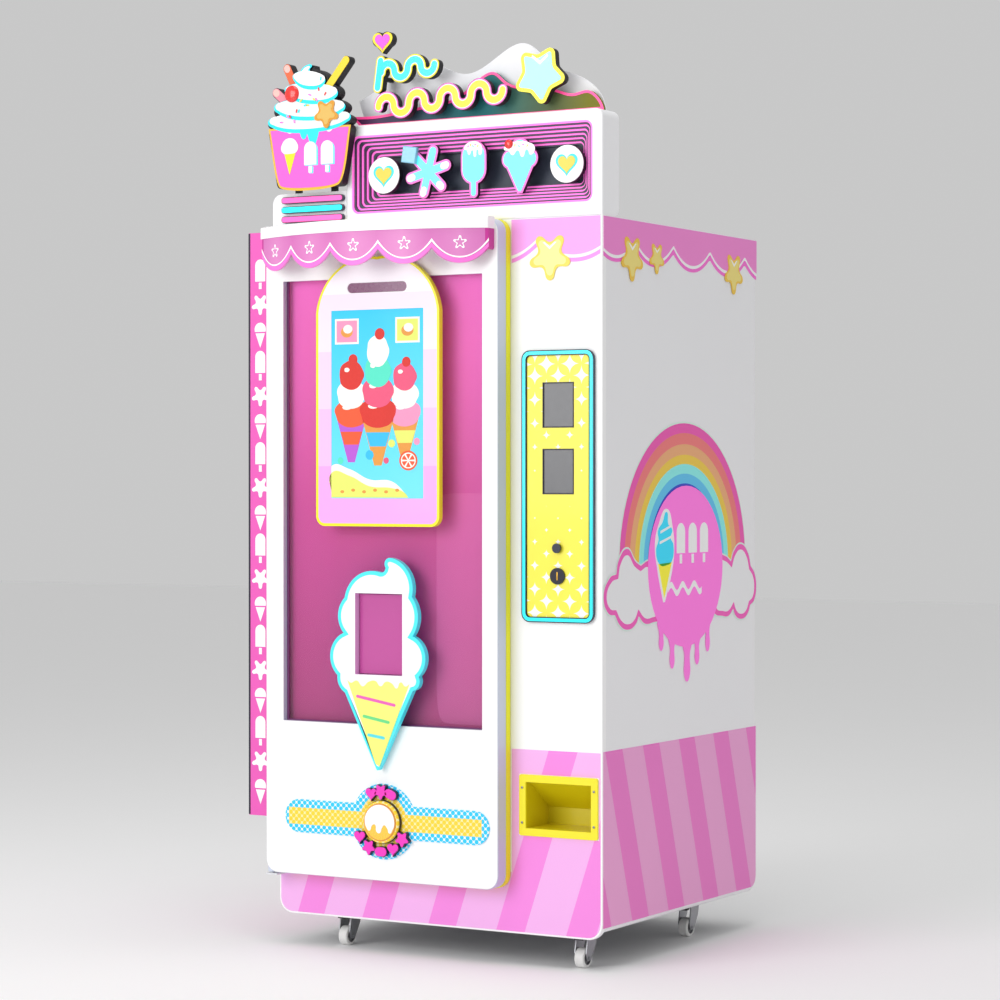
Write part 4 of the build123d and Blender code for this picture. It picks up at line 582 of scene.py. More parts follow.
# The tray's faces behind its front are painted a darker yellow: painted shade on its sides.
dress(["tray"], side_darkened(tray_yellow, front + 0.001, tint(255, 242, 24), tint(226, 210, 14)))
screw_steel = finish("screw steel", tint(150, 150, 150), rough=0.3, metal=0.9, grain=70, mottle=0.2)
tray_low, tray_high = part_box("tray")
tray_mid = (tray_low + tray_high) / 2
for number, (sx, sz) in enumerate(((-1, -1), (1, -1), (-1, 1), (1, 1))):
    bpy.ops.object.select_all(action="DESELECT")
    bpy.ops.mesh.primitive_cylinder_add(vertices=24, radius=0.0034, depth=0.0014, rotation=(math.pi / 2, 0, 0),
                                        location=(tray_mid.x + sx * 0.1015, tray_low.y + 0.0001,
                                                  tray_mid.z + sz * 0.0435))
    screw = bpy.context.object
    screw.name = "tray_screw_%d" % number
    apply_place(screw)
    rounding = screw.modifiers.new("rounding", "BEVEL")
    rounding.width = 0.0006
    rounding.segments = 2
    bpy.ops.object.modifier_apply(modifier=rounding.name)
    fasten(screw, "cabinet", screw_steel)

# ---- Header sign box.
# A white ABS box. Its recess holds a black stepped tray edged with pink light strips, so it looks deep when lit.
header_white = finish("header white", tint(252, 252, 254), rough=0.28, grain=700, mottle=0.025, coat=0.2)
dress(["header_housing"], header_white)
slate = finish("tunnel slate", tint(62, 72, 88), rough=0.42, grain=300, mottle=0.2)
dress(["header_tunnel"], slate)
light_mat = finish("light strips", tint(255, 112, 212), rough=0.3, mottle=0.04, glow=0.55)
tree = light_mat.node_tree
x, y, z = object_axes(tree)
bars_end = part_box("header_tunnel")[0].x - 0.01
is_bar_back = math_node(tree, "LESS_THAN", x, bars_end)
pattern(light_mat, blend_colours(tree, is_bar_back, tint(255, 112, 212), tint(40, 36, 60)))
dress(["neon_lines"], light_mat)
neon_pink = finish("neon pink", tint(255, 96, 180), rough=0.3, mottle=0.03, glow=0.6)
neon_cyan = finish("neon cyan", tint(24, 250, 255), rough=0.3, mottle=0.03, glow=0.6)
bar_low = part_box("neon_lines")[0].x
roof_z = (roof - base) * 1000


def slot_outline(x0, x1, z, half):
    """A pill lying along X."""
    left_end = ring_spots(x0 + half, z, half, half, 90, 270, 10)
    right_end = ring_spots(x1 - half, z, half, half, -90, 90, 10)
    return left_end + right_end


for number, mat in enumerate((neon_pink, neon_cyan, neon_pink)):
    x0 = (bar_low - right) * 1000 + 3
    x1 = -754 - 3
    piece = cut_sheet("neon_bar_%d" % number, [slot_outline(x0, x1, roof_z + 28 + 25 * number, 6)], 11, 1.8, edge=0.8)
    fasten(piece, "cabinet", mat)


def front_loops(node):
    """The outer outlines of a node's foremost flat faces, in millimetres right of and above the cabinet's corner."""
    work = bmesh.new()
    work.from_mesh(nodes[node].data)
    bmesh.ops.remove_doubles(work, verts=work.verts, dist=1e-6)
    level = min(v.co.y for v in work.verts)
    faces = [f for f in work.faces if f.normal.y < -0.99 and f.calc_center_median().y < level + 0.0004]
    inside = set(faces)
    edges = [e for e in work.edges if sum(f in inside for f in e.link_faces) == 1]
    loops = []
    left_over = set(edges)
    for edge in edges:
        if edge not in left_over:
            continue
        left_over.discard(edge)
        chain = [edge.verts[0], edge.verts[1]]
        while chain[-1] is not chain[0]:
            step = [e for e in chain[-1].link_edges if e in left_over]
            if not step:
                break
            left_over.discard(step[0])
            chain.append(step[0].other_vert(chain[-1]))
        loop = [((v.co.x - right) * 1000, (v.co.z - base) * 1000) for v in chain[:-1]]
        lowest = min(range(len(loop)), key=lambda n: (round(loop[n][1], 2), loop[n][0]))
        loops.append(loop[lowest:] + loop[:lowest])
    work.free()
    return sorted(loops, key=len, reverse=True), (front - level) * 1000


def loop_centre(loop):
    """The middle of a loop's extent."""
    xs = [p[0] for p in loop]
    zs = [p[1] for p in loop]
    return (min(xs) + max(xs)) / 2, (min(zs) + max(zs)) / 2


def thinned(loop, least):
    """A loop with its close-set points dropped, so that it can be moved inwards cleanly."""
    kept = [loop[0]]
    for point in loop[1:]:
        if (Vector(point) - Vector(kept[-1])).length > least:
            kept.append(point)
    return kept


def heart(x, z, size):
    """A heart's outline; size is half its width."""
    spots = []
    for n in range(40):
        t = 2 * math.pi * n / 40
        spots.append((x + size * math.sin(t) ** 3,
                      z + size / 16 * (13 * math.cos(t) - 5 * math.cos(2 * t) - 2 * math.cos(3 * t) - math.cos(4 * t))))
    return spots


# ---- Header ornaments.
# Laser-cut acrylic glued in layers on black blocks: heart discs at the ends, and a snowflake, a pop and a sundae.
# The cyan, pink and white icon layers glow: painted light on the acrylic.
icon_cyan = finish("icon cyan", tint(100, 252, 255), rough=0.25, mottle=0.04, coat=0.3, glow=0.3)
icon_pink = finish("icon pink", tint(250, 124, 212), rough=0.3, mottle=0.05, glow=0.15)
icon_white = finish("icon white", tint(255, 255, 255), rough=0.28, mottle=0.02, glow=0.1)
icon_black = finish("icon black", tint(22, 18, 30), rough=0.4, mottle=0.2)
dress(["header_icons"], icon_black)
heart_yellow = finish("heart yellow", tint(244, 222, 80), rough=0.3, mottle=0.06)
heart_cyan = finish("heart cyan", tint(60, 236, 240), rough=0.3, mottle=0.05)
cherry_red = finish("cherry red", tint(240, 48, 44), rough=0.18, mottle=0.06, coat=0.6)
ice_blue = finish("ice blue", tint(150, 222, 250), rough=0.15, grain=60, mottle=0.3, coat=0.5)

icons_low, icons_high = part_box("header_icons")
disc_xs = ((icons_low.x - right) * 1000 + 47, (icons_high.x - right) * 1000 - 47)
recess_foot = roof_z + 34
disc_up = recess_foot + 96
disc_front = -9
for number, x in enumerate(disc_xs):
    face = cut_sheet("heart_disc_%d" % number, [ring_spots(x, disc_up, 46, 46)[:-1]], disc_front, 2.0, edge=0.6)
    fasten(face, "cabinet", icon_white)
    fasten(cut_sheet("heart_line_%d" % number, [heart(x, disc_up + 1, 31)], disc_front + 2, 0.8, edge=0.2),
           "cabinet", heart_cyan)
    fasten(cut_sheet("heart_fill_%d" % number, [heart(x, disc_up + 1, 24)], disc_front + 2.8, 0.8, edge=0.2),
           "cabinet", heart_yellow)

icon_step = (disc_xs[1] - disc_xs[0]) / 4
icon_spots = [disc_xs[0] + icon_step * n for n in (1, 2, 3)]
icon_up = recess_foot + 98
icon_front = -8


def rod_outline(x, z, length, half, turn):
    """A pill lying at an angle about its middle."""
    flat = slot_outline(-length / 2, length / 2, 0, half)
    c, s = math.cos(math.radians(turn)), math.sin(math.radians(turn))
    return [(x + a * c - b * s, z + a * s + b * c) for a, b in flat]


layers = (("rim", 0, 0, icon_pink), ("fill", 5.5, 1.2, icon_cyan))
for name, inset, level, mat in layers:
    for arm in range(3):
        shape = rod_outline(icon_spots[0], icon_up, 138 - 2 * inset, 15 - inset, 60 * arm + 15)
        fasten(cut_sheet("flake_%s_%d" % (name, arm), [shape], icon_front + level + 0.02 * arm, 1.2, edge=0.2),
               "cabinet", mat)
    body = rod_outline(icon_spots[1], icon_up + 16, 110 - 2 * inset, 37 - inset, 90)
    stick = rod_outline(icon_spots[1], icon_up - 47, 52 - 2 * inset, 12 - inset, 90)
    fasten(cut_sheet("pop_%s" % name, [body], icon_front + level, 1.2, edge=0.2), "cabinet", mat)
    fasten(cut_sheet("pop_stick_%s" % name, [stick], icon_front + level - 0.1, 1.2, edge=0.2),
           "cabinet", mat)
    wafer = shrink([(icon_spots[2] - 44, icon_up + 8), (icon_spots[2] - 7, icon_up - 68),
                    (icon_spots[2] + 7, icon_up - 68), (icon_spots[2] + 44, icon_up + 8)], inset)
    fasten(cut_sheet("sundae_wafer_%s" % name, [wafer], icon_front + level - 0.1, 1.2, edge=0.2),
           "cabinet", mat)
    scoop = ring_spots(icon_spots[2], icon_up + 42, 28 - inset, 28 - inset)[:-1]
    fasten(cut_sheet("sundae_top_%s" % name, [scoop], icon_front + level - 0.05, 1.2, edge=0.2),
           "cabinet", mat)
    brim = slot_outline(icon_spots[2] - 52 + inset, icon_spots[2] + 52 - inset, icon_up + 18, 25 - inset)
    fasten(cut_sheet("sundae_brim_%s" % name, [brim], icon_front + level, 1.2, edge=0.2),
           "cabinet", mat)
for arm in range(3):
    for end in (-1, 1):
        turn = math.radians(60 * arm + 15)
        x = icon_spots[0] + end * 52 * math.cos(turn)
        z = icon_up + end * 52 * math.sin(turn)
        if z > icon_up + 30:
            continue
        cap = rod_outline(x, z, 26, 8.5, 60 * arm + 15)
        fasten(cut_sheet("flake_cap_%d_%d" % (arm, end + 1), [cap], icon_front + 2.5, 1.0, edge=0.3),
               "cabinet", icon_white)
for name, x, z, wide in (("pop", icon_spots[1], icon_up + 50, 26), ("sundae", icon_spots[2], icon_up + 42, 44)):
    icing = [(x - wide, z + 2, 1), (x - wide * 0.6, z + 15, 1), (x, z + 19, 1), (x + wide * 0.6, z + 15, 1),
             (x + wide, z + 2, 1), (x + wide * 0.75, z - 16, 1), (x + wide * 0.5, z - 2, 1),
             (x + wide * 0.2, z - 20, 1), (x - wide * 0.1, z - 3, 1), (x - wide * 0.45, z - 14, 1),
             (x - wide * 0.7, z - 3, 1)]
    fasten(cut_sheet(name + "_icing", [icing], icon_front + 2.6, 1.0, edge=0.3),
           "cabinet", icon_white)
    for n in range(5):
        bit = rod_outline(x + wide * (-0.55 + 0.27 * n), z + 7 + 3 * (n % 2), 7, 1.6, 35 + 50 * n)
        fasten(cut_sheet("%s_sprinkle_%d" % (name, n), [bit], icon_front + 3.6, 0.5), "cabinet",
               (icon_pink, heart_yellow, icon_cyan)[n % 3])


def ball(name, x, level, z, radius, squash_y=1.0):
    """A glossy ball whose middle lies a distance ahead of the front plate."""
    bpy.ops.object.select_all(action="DESELECT")
    bpy.ops.mesh.primitive_uv_sphere_add(segments=32, ring_count=16, radius=radius / 1000, location=spot(x, -level, z))
    piece = bpy.context.object
    piece.name = name
    piece.scale = (1, squash_y, 1)
    apply_place(piece)
    bpy.ops.object.mode_set(mode="EDIT")
    bpy.ops.mesh.select_all(action="SELECT")
    bpy.ops.mesh.vertices_smooth(factor=0.2)
    bpy.ops.object.mode_set(mode="OBJECT")
    return piece


fasten(ball("sundae_cherry", icon_spots[2] - 30, icon_front + 4, icon_up + 56, 12, 0.5),
       "cabinet", cherry_red)
fasten(cut_sheet("ice_cube", [[(icon_spots[0] - 72, icon_up + 30), (icon_spots[0] - 36, icon_up + 24),
                               (icon_spots[0] - 30, icon_up + 60), (icon_spots[0] - 66, icon_up + 66)]],
                 icon_front + 4, 7, edge=3.0), "cabinet", ice_blue)

# ---- Sundae cup sign.
# Thick foam board cut to shape, printed in layers: a pink tub, piped cream, a cherry, wafers, a spoon and a biscuit.
cup_black = finish("sign edge black", tint(18, 14, 22), rough=0.45, mottle=0.2)
dress(["cup_sign"], cup_black)
cup_front = front_loops("cup_sign")[1]
sign_yellow = finish("sign yellow", tint(255, 196, 40), rough=0.32, mottle=0.06)
# The pink tub and the cyan cream prints glow faintly: painted light on the board.
cup_pink = finish("cup pink", tint(255, 96, 210), rough=0.32, mottle=0.05, glow=0.08)
cream_white = finish("cream white", tint(255, 255, 255), rough=0.3, mottle=0.02)
cream_cyan = finish("cream cyan", tint(16, 236, 255), rough=0.3, mottle=0.04, glow=0.08)
cup_mid = -841
cup_base = roof_z + 106
tub = [(cup_mid - 99, cup_base + 14, 1), (cup_mid - 90, cup_base + 2, 1), (cup_mid + 86, cup_base + 2, 1),
       (cup_mid + 99, cup_base + 14, 1), (cup_mid + 128, cup_base + 154, 0), (cup_mid - 128, cup_base + 158, 0)]
fasten(cut_sheet("cup_rim_print", [tub], cup_front, 0.8), "cabinet", sign_yellow)
fasten(cut_sheet("cup_tub", [shrink(tub, 5)], cup_front + 0.8, 0.8), "cabinet", cup_pink)


def cream_tier(name, x, z, wide, tall, lean, level):
    """One turn of piped cream: a cyan shadow shape with the white turn laid over it."""
    outline = [(x + wide * math.cos(math.radians(a)) * (1 + 0.06 * math.sin(math.radians(3 * a))),
                z + tall * math.sin(math.radians(a)) + lean * math.cos(math.radians(a)), 1) for a in range(0, 360, 20)]
    fasten(cut_sheet(name + "_shade", [outline], level, 0.6), "cabinet", cream_cyan)
    inner = [(x + 0.965 * (a - x) + 1, z + 4.5 + 0.80 * (b - z), 1) for a, b, _ in outline]
    fasten(cut_sheet(name, [inner], level + 0.6, 0.6), "cabinet", cream_white)


cream_tier("cream_low", cup_mid, cup_base + 170, 128, 29, 0, cup_front + 1.7)
cream_tier("cream_mid", cup_mid + 2, cup_base + 202, 110, 30, -5, cup_front + 2.9)
cream_tier("cream_high", cup_mid + 8, cup_base + 242, 82, 28, -9, cup_front + 4.1)
cream_tier("cream_crown", cup_mid + 2, cup_base + 276, 50, 24, -8, cup_front + 5.3)
curl = [(cup_mid - 30, cup_base + 284, 1), (cup_mid - 22, cup_base + 300, 1), (cup_mid - 4, cup_base + 313, 1),
        (cup_mid + 8, cup_base + 312, 1), (cup_mid + 2, cup_base + 302, 1), (cup_mid + 14, cup_base + 286, 1)]
fasten(cut_sheet("cream_curl_shade", [shrink(curl, -2)], cup_front + 5.9, 0.4), "cabinet", cream_cyan)
fasten(cut_sheet("cream_curl", [shrink(curl, 1.5)], cup_front + 6.4, 0.5), "cabinet", cream_white)
for number, (x, low, half) in enumerate(((cup_mid - 17, 125, 9), (cup_mid + 12, 106, 10), (cup_mid - 60, 142, 12),
                                         (cup_mid + 62, 140, 13))):
    run = [(x - half, cup_base + 168, 1), (x - half, cup_base + low + half, 1), (x, cup_base + low, 1),
           (x + half, cup_base + low + half, 1), (x + half, cup_base + 168, 1)]
    fasten(cut_sheet("cream_run_%d" % number, [run], cup_front + 1.65, 0.6), "cabinet",
           cream_cyan if number < 2 else cream_white)
fasten(ball("cup_cherry", cup_mid - 51, cup_front + 6, cup_base + 244, 22, 0.4), "cabinet", cherry_red)
biscuit_rim = finish("biscuit rim", tint(240, 168, 50), rough=0.5, grain=700, mottle=0.2, relief=0.3)
biscuit_face = finish("biscuit", tint(250, 206, 108), rough=0.55, grain=900, mottle=0.3, relief=0.4)
fasten(cut_sheet("biscuit_rim", [inverted_star(cup_mid + 56, cup_base + 187, 37, 24)], cup_front + 6, 1.2, edge=0.4),
       "cabinet", biscuit_rim)
fasten(cut_sheet("biscuit_face", [inverted_star(cup_mid + 56, cup_base + 187, 28, 18)], cup_front + 7.2, 0.8, edge=0.2),
       "cabinet", biscuit_face)
spoon_mat = finish("spoon yellow", tint(255, 222, 20), rough=0.25, mottle=0.06, coat=0.3)
fasten(cut_sheet("spoon", [rod_outline(cup_mid + 84, cup_base + 286, 110, 10, 50)], cup_front, 1.2, edge=0.3),
       "cabinet", spoon_mat)
wafer_mats = (finish("wafer orange", tint(250, 110, 60), mottle=0.2),
              finish("wafer pink", tint(250, 150, 170), mottle=0.2))
for number, (x, z, length, turn) in enumerate(((cup_mid - 58, 288, 74, 116), (cup_mid - 86, 236, 68, 140))):
    fasten(cut_sheet("wafer_%d" % number, [rod_outline(x, cup_base + z, length, 11, turn)], cup_front, 1.2, edge=0.2),
           "cabinet", wafer_mats[number])
    tip_x = x + (length / 2 - 12) * math.cos(math.radians(turn))
    tip_z = cup_base + z + (length / 2 - 12) * math.sin(math.radians(turn))
    fasten(cut_sheet("wafer_tip_%d" % number, [rod_outline(tip_x, tip_z, 21, 9, turn)], cup_front + 1.2, 0.5),
           "cabinet", finish("wafer tip %d" % number, tint(255, 206, 196), mottle=0.2))
sprinkle_tints = (icon_pink, heart_yellow, cream_cyan, cherry_red)
for n in range(18):
    x = cup_mid - 84 + (n * 61.8) % 158
    z = cup_base + 172 + (n * 43.7 + 9 * (n % 3)) % 118
    if abs(x - cup_mid - 8) > 118 - 0.62 * (z - cup_base - 150):
        continue
    fasten(cut_sheet("sprinkle_%d" % n, [rod_outline(x, z, 10, 2.0, 40 * n)], cup_front + 6.8, 0.5),
           "cabinet", sprinkle_tints[n % 4])
mini = [(cup_mid - 80, cup_base + 100, 0), (cup_mid - 61, cup_base + 36, 0), (cup_mid - 40, cup_base + 100, 0)]
fasten(cut_sheet("cup_cone", [mini], cup_front + 1.6, 0.8, edge=0.2), "cabinet", cone_yellow)
mini_top = [(cup_mid - 84, cup_base + 96, 1), (cup_mid - 82, cup_base + 118, 1), (cup_mid - 61, cup_base + 130, 1),
            (cup_mid - 40, cup_base + 120, 1), (cup_mid - 36, cup_base + 98, 1), (cup_mid - 60, cup_base + 90, 1)]
fasten(cut_sheet("cup_cone_top", [mini_top], cup_front + 2.4, 0.8, edge=0.3), "cabinet", cream_white)
for number, x in enumerate((cup_mid + 4, cup_mid + 56)):
    fasten(cut_sheet("cup_pop_shade_%d" % number, pop_shape(x + 3, cup_base + 56, 20, 60, 12), cup_front + 1.5, 0.4),
           "cabinet", cream_cyan)
    fasten(cut_sheet("cup_pop_%d" % number, pop_shape(x, cup_base + 58, 19, 60, 11), cup_front + 2.0, 0.7, edge=0.2),
           "cabinet", cream_white)

# ---- Boards along the top of the header.
# Frosted acrylic hills at the back, a printed wave with a pink light edge in front, and layered cut-out signs.
frosted = finish("frosted acrylic", tint(250, 250, 253), rough=0.5, grain=500, mottle=0.03, relief=0.1)
dress(["cloud_board"], frosted)
wave_low, wave_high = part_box("wave_board")
wave_mat = finish("wave print", tint(60, 110, 130), rough=0.6, mottle=0.1)
tree = wave_mat.node_tree
x, y, z = object_axes(tree)
share = math_node(tree, "DIVIDE", math_node(tree, "SUBTRACT", x, wave_low.x), wave_high.x - wave_low.x)
first = blend_colours(tree, math_node(tree, "MULTIPLY", share, 2.2), tint(96, 10, 92), tint(16, 118, 122))
late = math_node(tree, "MAXIMUM", math_node(tree, "MULTIPLY_ADD", share, 2.6, -1.45), 0.0)
pattern(wave_mat, blend_colours(tree, math_node(tree, "MINIMUM", late, 1.0), first, tint(124, 122, 12)))
dress(["wave_board"], wave_mat)
wave_loops, wave_front = front_loops("wave_board")
wave_line = thinned(wave_loops[0], 3.0)
wave_edge = finish("wave light edge", tint(255, 74, 150), rough=0.3, mottle=0.05, glow=0.4)
header_top = roof_z + 262
inner_line = shrink(wave_line, 6.5)
fasten(cut_sheet("wave_edge", [wave_line, inner_line], wave_front, 0.8), "cabinet", wave_edge)

sign_black = finish("top sign black", tint(16, 12, 20), rough=0.45, mottle=0.2)
dress(["top_signs", "star_sign"], sign_black)
# The cyan and yellow ropes and the heart glow: painted light on the cut-out signs.
sign_cyan = finish("rope cyan", tint(12, 250, 255), rough=0.25, mottle=0.04, coat=0.3, glow=0.2)
sign_lemon = finish("rope yellow", tint(255, 232, 10), rough=0.25, mottle=0.04, coat=0.3, glow=0.15)
rim_yellow = finish("rim yellow", tint(255, 236, 40), rough=0.3, mottle=0.05)
rim_pink = finish("rim pink", tint(255, 112, 214), rough=0.3, mottle=0.05)
sign_heart = finish("sign heart", tint(255, 92, 220), rough=0.28, mottle=0.05, glow=0.1)
main_x = -751


def piped(name, x0, z0, radius, humps, rise, layers):
    """Layers of a piped-cream border: one snaking rope, each layer narrower than the one behind it."""
    runs = 14
    for label, half, level, mat in layers:
        upper, lower = [], []
        for n in range(humps * runs + 1):
            number = min(n // runs, humps - 1)
            a = math.pi * (n / runs - number)
            way = -1 if number % 2 else 1
            x = x0 + (2 * number + 1) * radius - radius * math.cos(a)
            z = z0 + way * radius * math.sin(a) + rise * (n / runs - 0.5)
            upper.append((x - half * way * math.cos(a), z + half * math.sin(a)))
            lower.append((x + half * way * math.cos(a), z - half * math.sin(a)))
        first_cap = ring_spots(x0, z0 - 0.5 * rise, half, half, 0, -180, 10)
        last_way = 1 if humps % 2 else -1
        last_cap = ring_spots(x0 + 2 * humps * radius, z0 + (humps - 0.5) * rise, half * last_way, -half * last_way,
                              0, 180, 10)
        outline = upper + last_cap[1:-1] + lower[::-1] + first_cap[1:-1]
        fasten(cut_sheet("%s_%s" % (name, label), [outline], level, 0.7, steps=1), "cabinet", mat)


high_layers = (("rim", 13.7, 0, rim_yellow), ("white", 10.4, 0.7, cream_white), ("fill", 8.2, 1.4, sign_cyan))
piped("rope_high", main_x + 108, header_top + 132, 20, 4, 2.5, high_layers)
piped("rope_low", main_x + 100, header_top + 44, 23, 8, 2.5,
      (("rim", 13.7, 0, rim_pink), ("white", 10.6, 0.7, cream_white), ("fill", 8.2, 1.4, sign_lemon)))
for label, half, level, mat in high_layers:
    stem = rod_outline(main_x + 102, header_top + 126, 68 + 2 * half, half, 82)
    fasten(cut_sheet("stem_" + label, [stem], level + 0.05, 0.7), "cabinet", mat)
fasten(cut_sheet("heart_rim", [heart(main_x + 112, header_top + 210, 30)], 0.1, 1.0),
       "cabinet", rim_yellow)
fasten(cut_sheet("heart_top", [heart(main_x + 112, header_top + 211, 22)], 1.1, 1.2, edge=0.4),
       "cabinet", sign_heart)

star_loops, star_front = front_loops("star_sign")
star_line = thinned(star_loops[0], 2.5)
# The star's rim and face glow: painted light on the cut-out sign.
star_rim = finish("star sign rim", tint(255, 246, 20), rough=0.28, mottle=0.04, coat=0.3, glow=0.1)
star_face = finish("star sign face", tint(168, 255, 255), rough=0.28, mottle=0.04, coat=0.3, glow=0.15)
fasten(cut_sheet("star_rim", [star_line], star_front, 1.0), "cabinet", star_rim)
fasten(cut_sheet("star_face", [shrink(star_line, 10)], star_front + 1.0, 1.0, edge=0.3),
       "cabinet", star_face)
sx, sz = loop_centre(star_line)
vee = [(sx - 24, sz + 48), (sx, sz + 28), (sx + 24, sz + 48), (sx + 22, sz + 54), (sx, sz + 38), (sx - 22, sz + 54)]
fasten(cut_sheet("star_shine", [vee], star_front + 2.0, 0.4), "cabinet", cream_white)

# ---- Wing board.
# A sign blade of painted board beside the cabinet, with a dark left edge and a column of white cut-vinyl treats.
wing_print = finish("wing pink", tint(240, 92, 190), rough=0.34, mottle=0.06)
dress(["wing_board"], wing_print)
fasten(cut_sheet("wing_edge", [[(-1058.5, 233), (-1053, 233), (-1053, 1762), (-1058.5, 1762)]], 0.1, 0.4),
       "cabinet", dark_edge)
wing_mid = -1021
for n in range(18):
    z = 1655 - 80 * n
    kind = n % 3
    if kind == 0:
        shapes = pop_shape(wing_mid, z - 20, 16, 58, 9)
    elif kind == 1:
        shapes = [inverted_star(wing_mid, z, 27, 15)]
    else:
        shapes = [ring_spots(wing_mid, z + 14, 18, 18, -20, 200, 16),
                  [(wing_mid - 15, z + 4), (wing_mid + 15, z + 4), (wing_mid, z - 34)]]
    fasten(cut_sheet("wing_treat_%d" % n, shapes, 0.1, 0.4), "cabinet", print_white)

# ---- Front door.
# A vacuum-formed white door on pin hinges, trimmed in yellow. Behind its clear pane stands a pink board, darker towards
# the bottom, with a painted reflection on it.
door_mat = finish("door white", tint(255, 255, 255), rough=0.28, grain=700, mottle=0.02, coat=0.2)
door_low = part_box("door_shell")[0]
# Its faces behind the front are a bluish grey: painted shade on the door's sides.
dress(["door_shell"], side_darkened(door_mat, door_low.y + 0.001, tint(255, 255, 255), tint(206, 214, 232)))
trim_yellow = finish("door trim yellow", tint(252, 250, 20), rough=0.35, mottle=0.06)
dress(["door_trim"], trim_yellow)
hinge_mat = finish("hinge white", tint(232, 234, 238), rough=0.3, mottle=0.1, metal=0.2)
dress(["hinge_brackets"], hinge_mat)

backdrop = finish("backdrop pink with painted reflection", tint(224, 84, 180), rough=0.62, mottle=0.05)
tree = backdrop.node_tree
x, y, z = object_axes(tree)
# The board is darker towards the bottom.
rise = math_node(tree, "DIVIDE", math_node(tree, "SUBTRACT", z, base + 0.48), 1.15)
rise = math_node(tree, "MINIMUM", math_node(tree, "MAXIMUM", rise, 0.0), 1.0)
lower_tone = blend_colours(tree, math_node(tree, "MINIMUM", math_node(tree, "MULTIPLY", rise, 2.0), 1.0),
                           tint(164, 20, 108), tint(204, 44, 148))
upper_share = math_node(tree, "MAXIMUM", math_node(tree, "MULTIPLY_ADD", rise, 2.0, -1.0), 0.0)
tone = blend_colours(tree, upper_share, lower_tone, tint(252, 100, 206))
# A lighter rounded patch on the board is a painted reflection of the glass in front of it.
soft_x = math_node(tree, "MULTIPLY", math_node(tree, "SUBTRACT", x, right - 0.375), 1 / 0.085)
soft_z = math_node(tree, "MULTIPLY", math_node(tree, "SUBTRACT", z, base + 0.79), 1 / 0.29)
box_x = math_node(tree, "POWER", math_node(tree, "ABSOLUTE", soft_x), 8.0)
box_z = math_node(tree, "POWER", math_node(tree, "ABSOLUTE", soft_z), 8.0)
reflection_patch = math_node(tree, "LESS_THAN", math_node(tree, "ADD", box_x, box_z), 1.0)
pattern(backdrop, blend_colours(tree, math_node(tree, "MULTIPLY", reflection_patch, 0.22), tone, tint(240, 128, 200)))
dress(["door_backdrop"], backdrop)

pane_mat = finish("clear pane", tint(255, 226, 246), rough=0.05, grain=30, mottle=0.02, relief=0.0)
pane_mat.node_tree.nodes["Principled BSDF"].inputs["Alpha"].default_value = 0.04
dress(["window_pane"], pane_mat)
# A dark strip along the left and bottom of the window recess: painted shade in the reveal.
reveal_shade = finish("window reveal shade", tint(120, 52, 110), rough=0.5, mottle=0.1)
fasten(cut_sheet("window_reveal_shade", [[(-904.8, 491.2), (-306.2, 491.2), (-306.2, 494.5), (-899.5, 494.5),
                                    (-899.5, 1627), (-904.8, 1627)]], 42.2, 3.0, edge=0.3),
       "front_door", reveal_shade)

sleeve = finish("port lilac", tint(226, 168, 220), rough=0.35, mottle=0.08)
dress(["port_sleeve"], sleeve)
flap_mat = finish("flap pink", tint(200, 84, 162), rough=0.12, grain=60, mottle=0.08, coat=0.6)
dress(["pickup_flap"], flap_mat)

# ---- Awning.
# A bowed painted bar with a formed valance under it, printed with a hem, a looping white line and five stars. The
# valance's gores and cheeks carry painted shade.
bar_mat = finish("awning bar white", tint(255, 255, 255), rough=0.18, grain=500, mottle=0.02, coat=0.5)
dress(["awning_bar"], bar_mat)
valance = finish("awning print with painted shade", tint(246, 126, 216), rough=0.34, mottle=0.05)
tree = valance.node_tree
x, y, z = object_axes(tree)
bow_x = (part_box("awning_valance")[0].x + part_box("awning_valance")[1].x) / 2
# Each of the five gores is painted lighter in its middle and darker at its edges: painted shade across the bowed
# valance.
gore = math_node(tree, "MULTIPLY_ADD", math_node(tree, "SUBTRACT", x, bow_x), 5 / 0.683, 0.5)
gore_shade_share = math_node(tree, "ABSOLUTE", math_node(tree, "SUBTRACT", math_node(tree, "FRACT", gore), 0.5))
gore_shaded_tone = blend_colours(tree, math_node(tree, "MULTIPLY", gore_shade_share, 1.3),
                             tint(232, 142, 206), tint(214, 104, 184))
# The valance's cheeks, further back, are painted a darker pink: painted shade on its returning sides.
shaded_cheek = math_node(tree, "GREATER_THAN", y, front - 0.094)
pattern(valance, blend_colours(tree, shaded_cheek, gore_shaded_tone, tint(208, 52, 158)))
dress(["awning_valance"], valance)
bow_r = 687.9
bow_half = 341.0
bow_mid = (bow_x - right) * 1000
bow_centre_y = (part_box("awning_valance")[0].y - front) * 1000 + bow_r
half_turn = math.asin(bow_half / bow_r)


def wrapped(piece):
    """Bends a flat front-facing piece round the awning's bow; its X then runs along the arc."""
    for vertex in piece.data.vertices:
        out = (front - vertex.co.y) * 1000
        turn = ((vertex.co.x - right) * 1000 - bow_mid) / bow_r
        vertex.co.x = right + (bow_mid + (bow_r + out) * math.sin(turn)) / 1000
        vertex.co.y = front + (bow_centre_y - (bow_r + out) * math.cos(turn)) / 1000
    piece.data.update()
    return piece


